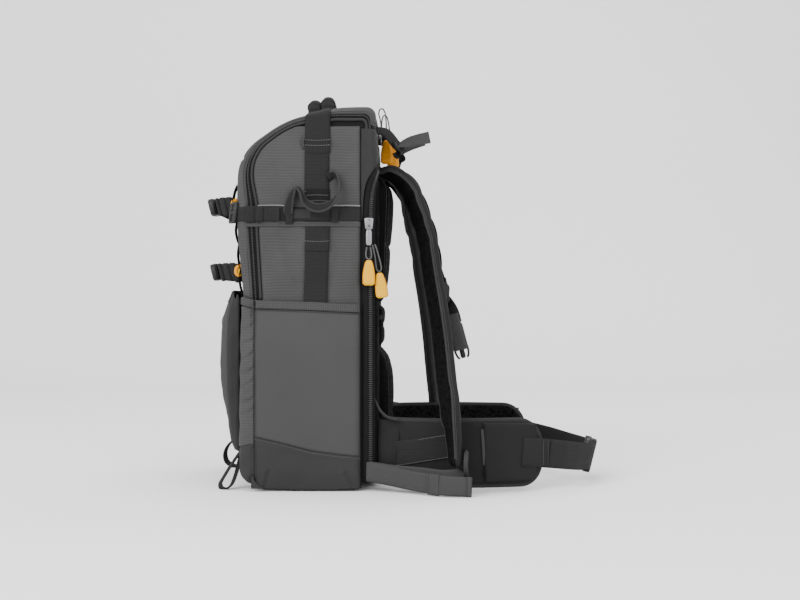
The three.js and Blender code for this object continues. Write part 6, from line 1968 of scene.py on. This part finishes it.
# Node trees: small shapes placed at even steps along every gathered line
def rowTree(name):
    tree = bpy.data.node_groups.new(name, "GeometryNodeTree")
    face = tree.interface
    face.new_socket("Geometry", in_out="INPUT", socket_type="NodeSocketGeometry")
    sockets = {}
    for key, kind, value in (
        ("Pitch", "NodeSocketFloat", 0.003),
        ("Piece Length", "NodeSocketFloat", 0.002),
        ("Piece Radius", "NodeSocketFloat", 0.0003),
        ("Flatness", "NodeSocketFloat", 0.7),
        ("Sides", "NodeSocketInt", 6),
        ("Turn", "NodeSocketFloat", 0.0),
        ("Unevenness", "NodeSocketFloat", 0.06),
        ("Seed", "NodeSocketInt", 7),
        ("Material", "NodeSocketMaterial", None),
    ):
        socket = face.new_socket(key, in_out="INPUT", socket_type=kind)
        if value is not None:
            socket.default_value = value
        sockets[key] = socket.identifier
    face.new_socket("Geometry", in_out="OUTPUT", socket_type="NodeSocketGeometry")
    add = tree.nodes.new
    link = tree.links.new
    given = add("NodeGroupInput")
    made = add("NodeGroupOutput")

    normal = add("GeometryNodeInputNamedAttribute")
    normal.data_type = "FLOAT_VECTOR"
    normal.inputs["Name"].default_value = "outward"
    toCurve = add("GeometryNodeMeshToCurve")
    link(given.outputs["Geometry"], toCurve.inputs["Mesh"])
    resample = add("GeometryNodeResampleCurve")
    if hasattr(resample, "mode"):
        resample.mode = "LENGTH"
    link(toCurve.outputs["Curve"], resample.inputs["Curve"])
    link(given.outputs["Pitch"], resample.inputs["Length"])
    tangent = add("GeometryNodeInputTangent")
    axes = add("FunctionNodeAxesToRotation")
    axes.primary_axis = "Z"
    axes.secondary_axis = "X"
    link(tangent.outputs[0], axes.inputs[0])
    link(normal.outputs[0], axes.inputs[1])

    # One stitch or tooth: a short rod along the line, flattened towards the cloth
    rod = add("GeometryNodeMeshUVSphere")
    rod.inputs["Rings"].default_value = 5
    link(given.outputs["Sides"], rod.inputs["Segments"])
    rod.inputs["Radius"].default_value = 1.0
    halve = add("ShaderNodeMath")
    halve.operation = "MULTIPLY"
    halve.inputs[1].default_value = 0.5
    link(given.outputs["Piece Length"], halve.inputs[0])
    flat = add("ShaderNodeMath")
    flat.operation = "MULTIPLY"
    link(given.outputs["Piece Radius"], flat.inputs[0])
    link(given.outputs["Flatness"], flat.inputs[1])
    scaled = add("ShaderNodeCombineXYZ")
    link(flat.outputs[0], scaled.inputs[0])
    link(given.outputs["Piece Radius"], scaled.inputs[1])
    link(halve.outputs[0], scaled.inputs[2])
    shape = add("GeometryNodeTransform")
    link(rod.outputs["Mesh"], shape.inputs["Geometry"])
    link(scaled.outputs[0], shape.inputs["Scale"])

    uneven = add("FunctionNodeRandomValue")
    uneven.data_type = "FLOAT"
    link(given.outputs["Seed"], uneven.inputs["Seed"])
    less = add("ShaderNodeMath")
    less.operation = "MULTIPLY"
    less.inputs[1].default_value = -1.0
    link(given.outputs["Unevenness"], less.inputs[0])
    link(less.outputs[0], uneven.inputs[2])
    link(given.outputs["Unevenness"], uneven.inputs[3])
    tilt = add("ShaderNodeCombineXYZ")
    whole = add("ShaderNodeMath")
    whole.operation = "ADD"
    link(uneven.outputs[1], whole.inputs[0])
    link(given.outputs["Turn"], whole.inputs[1])
    link(whole.outputs[0], tilt.inputs[0])
    turned = add("FunctionNodeEulerToRotation")
    link(tilt.outputs[0], turned.inputs[0])
    both = add("FunctionNodeRotateRotation")
    both.rotation_space = "LOCAL"
    link(axes.outputs[0], both.inputs[0])
    link(turned.outputs[0], both.inputs[1])

    place = add("GeometryNodeInstanceOnPoints")
    link(resample.outputs["Curve"], place.inputs["Points"])
    link(shape.outputs[0], place.inputs["Instance"])
    link(both.outputs[0], place.inputs["Rotation"])
    real = add("GeometryNodeRealizeInstances")
    link(place.outputs[0], real.inputs[0])
    paint = add("GeometryNodeSetMaterial")
    link(real.outputs[0], paint.inputs["Geometry"])
    link(given.outputs["Material"], paint.inputs["Material"])
    link(paint.outputs[0], made.inputs[0])
    return tree, sockets


rows, rowSockets = rowTree("rowsAlongLines")


def makeRows(name, lines, slot, **settings):
    points, edges, outward = [], [], []
    for line, normals in lines:
        start = len(points)
        points += (line * 0.001).tolist()
        outward += normals.tolist()
        edges += [(start + k, start + k + 1) for k in range(len(line) - 1)]
    mesh = bpy.data.meshes.new(name + "_lines")
    mesh.from_pydata(points, edges, [])
    stored = mesh.attributes.new("outward", "FLOAT_VECTOR", "POINT")
    stored.data.foreach_set("vector", np.array(outward, float).ravel())
    holder = bpy.data.objects.new(name + "_lines", mesh)
    scene.collection.objects.link(holder)
    modifier = holder.modifiers.new("rows", "NODES")
    modifier.node_group = rows
    for key, value in settings.items():
        modifier[rowSockets[key]] = value
    holder.update_tag()
    bpy.context.view_layer.update()
    graph = bpy.context.evaluated_depsgraph_get()
    plain = bpy.data.meshes.new_from_object(holder.evaluated_get(graph))
    plain.name = name
    bpy.data.objects.remove(holder)
    piece = bpy.data.objects.new(name, plain)
    scene.collection.objects.link(piece)
    plain.polygons.foreach_set("use_smooth", np.ones(len(plain.polygons), bool))
    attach(piece, "root")
    print(name, len(plain.polygons), "faces")
    return piece


threads = {"pale": threadPale, "grey": threadGrey, "dark": threadDark}
for key, lines in stitchLines.items():
    if lines:
        makeRows("stitches_" + key, lines, "strap_cloth", **{
            "Pitch": 0.0031, "Piece Length": 0.0024, "Piece Radius": 0.00036,
            "Flatness": 0.75, "Sides": 6, "Material": threads[key]})
for key, lines in teethLines.items():
    makeRows("teeth_" + key, lines, "zip_tape", **{
        "Pitch": 0.0027 if key == "back" else 0.002, "Piece Length": 0.0017 if key == "back" else 0.0013,
        "Piece Radius": 0.0027 if key == "back" else 0.0017, "Flatness": 0.5, "Sides": 8,
        "Unevenness": 0.02, "Material": coilPlastic})
print("stitches and zip teeth made")

# Floor and light: a pale sweep behind and below, wide soft lamps
stageSettings = {"half": 3.2, "back": 2.6, "rise": 2.6, "bend": 0.7, "colour": 0.80}


def makeStage():
    s = stageSettings
    line = [(-2.6, 0.0), (-1.2, 0.0)] + [(y, 0.0) for y in np.linspace(-0.6, s["back"] - s["bend"], 12)]
    for t in np.linspace(0, 90, 16)[1:]:
        a = math.radians(t)
        line.append((s["back"] - s["bend"] + s["bend"] * math.sin(a), s["bend"] * (1 - math.cos(a))))
    line.append((s["back"], s["rise"]))
    xs = np.linspace(-s["half"], s["half"], 9)
    points = [(x, y, z) for y, z in line for x in xs]
    faces = []
    for i in range(len(line) - 1):
        for j in range(len(xs) - 1):
            k = i * len(xs) + j
            faces.append((k, k + 1, k + len(xs) + 1, k + len(xs)))
    mesh = bpy.data.meshes.new("studio_floor")
    mesh.from_pydata(points, [], faces)
    mesh.polygons.foreach_set("use_smooth", np.ones(len(mesh.polygons), bool))
    material, nodes = newMaterial("studioPaper", 0.0, 0.1)
    place = nodes.add("ShaderNodeTexCoord").outputs["Object"]
    grain = nodes.noise(place, 300, 2)
    c = s["colour"]
    shade = nodes.blend(grain, (c, c, c, 1), (c * 1.01, c * 1.01, c * 1.01, 1))
    nodes.finish(shade, grain, 0.02, 0.9, 0.0002)
    mesh.materials.append(material)
    floor = bpy.data.objects.new("studio_floor", mesh)
    scene.collection.objects.link(floor)
    return floor


floor = makeStage()
lampSettings = [
    ("lamp_key", (-1.5, -2.1, 1.7), 2.0, 100.0),
    ("lamp_fill", (1.5, -2.4, 1.1), 2.0, 38.0),
    ("lamp_top", (0.1, 0.2, 2.6), 2.4, 27.0),
    ("lamp_rear", (1.6, 1.5, 1.7), 1.6, 16.0),
]
for name, place, size, watts in lampSettings:
    data = bpy.data.lights.new(name, "AREA")
    data.shape = "SQUARE"
    data.size = size
    data.energy = watts
    lamp = bpy.data.objects.new(name, data)
    lamp.location = place
    aim = np.array([0.05, 0.0, 0.25]) - np.array(place)
    flat = math.hypot(aim[0], aim[1])
    lamp.rotation_euler = (math.atan2(flat, -aim[2]), 0, math.atan2(aim[1], aim[0]) - math.pi / 2)
    scene.collection.objects.link(lamp)
world = bpy.data.worlds.new("world")
world.use_nodes = True
world.node_tree.nodes["Background"].inputs["Color"].default_value = (0.80, 0.80, 0.80, 1)
world.node_tree.nodes["Background"].inputs["Strength"].default_value = 1.92
scene.world = world
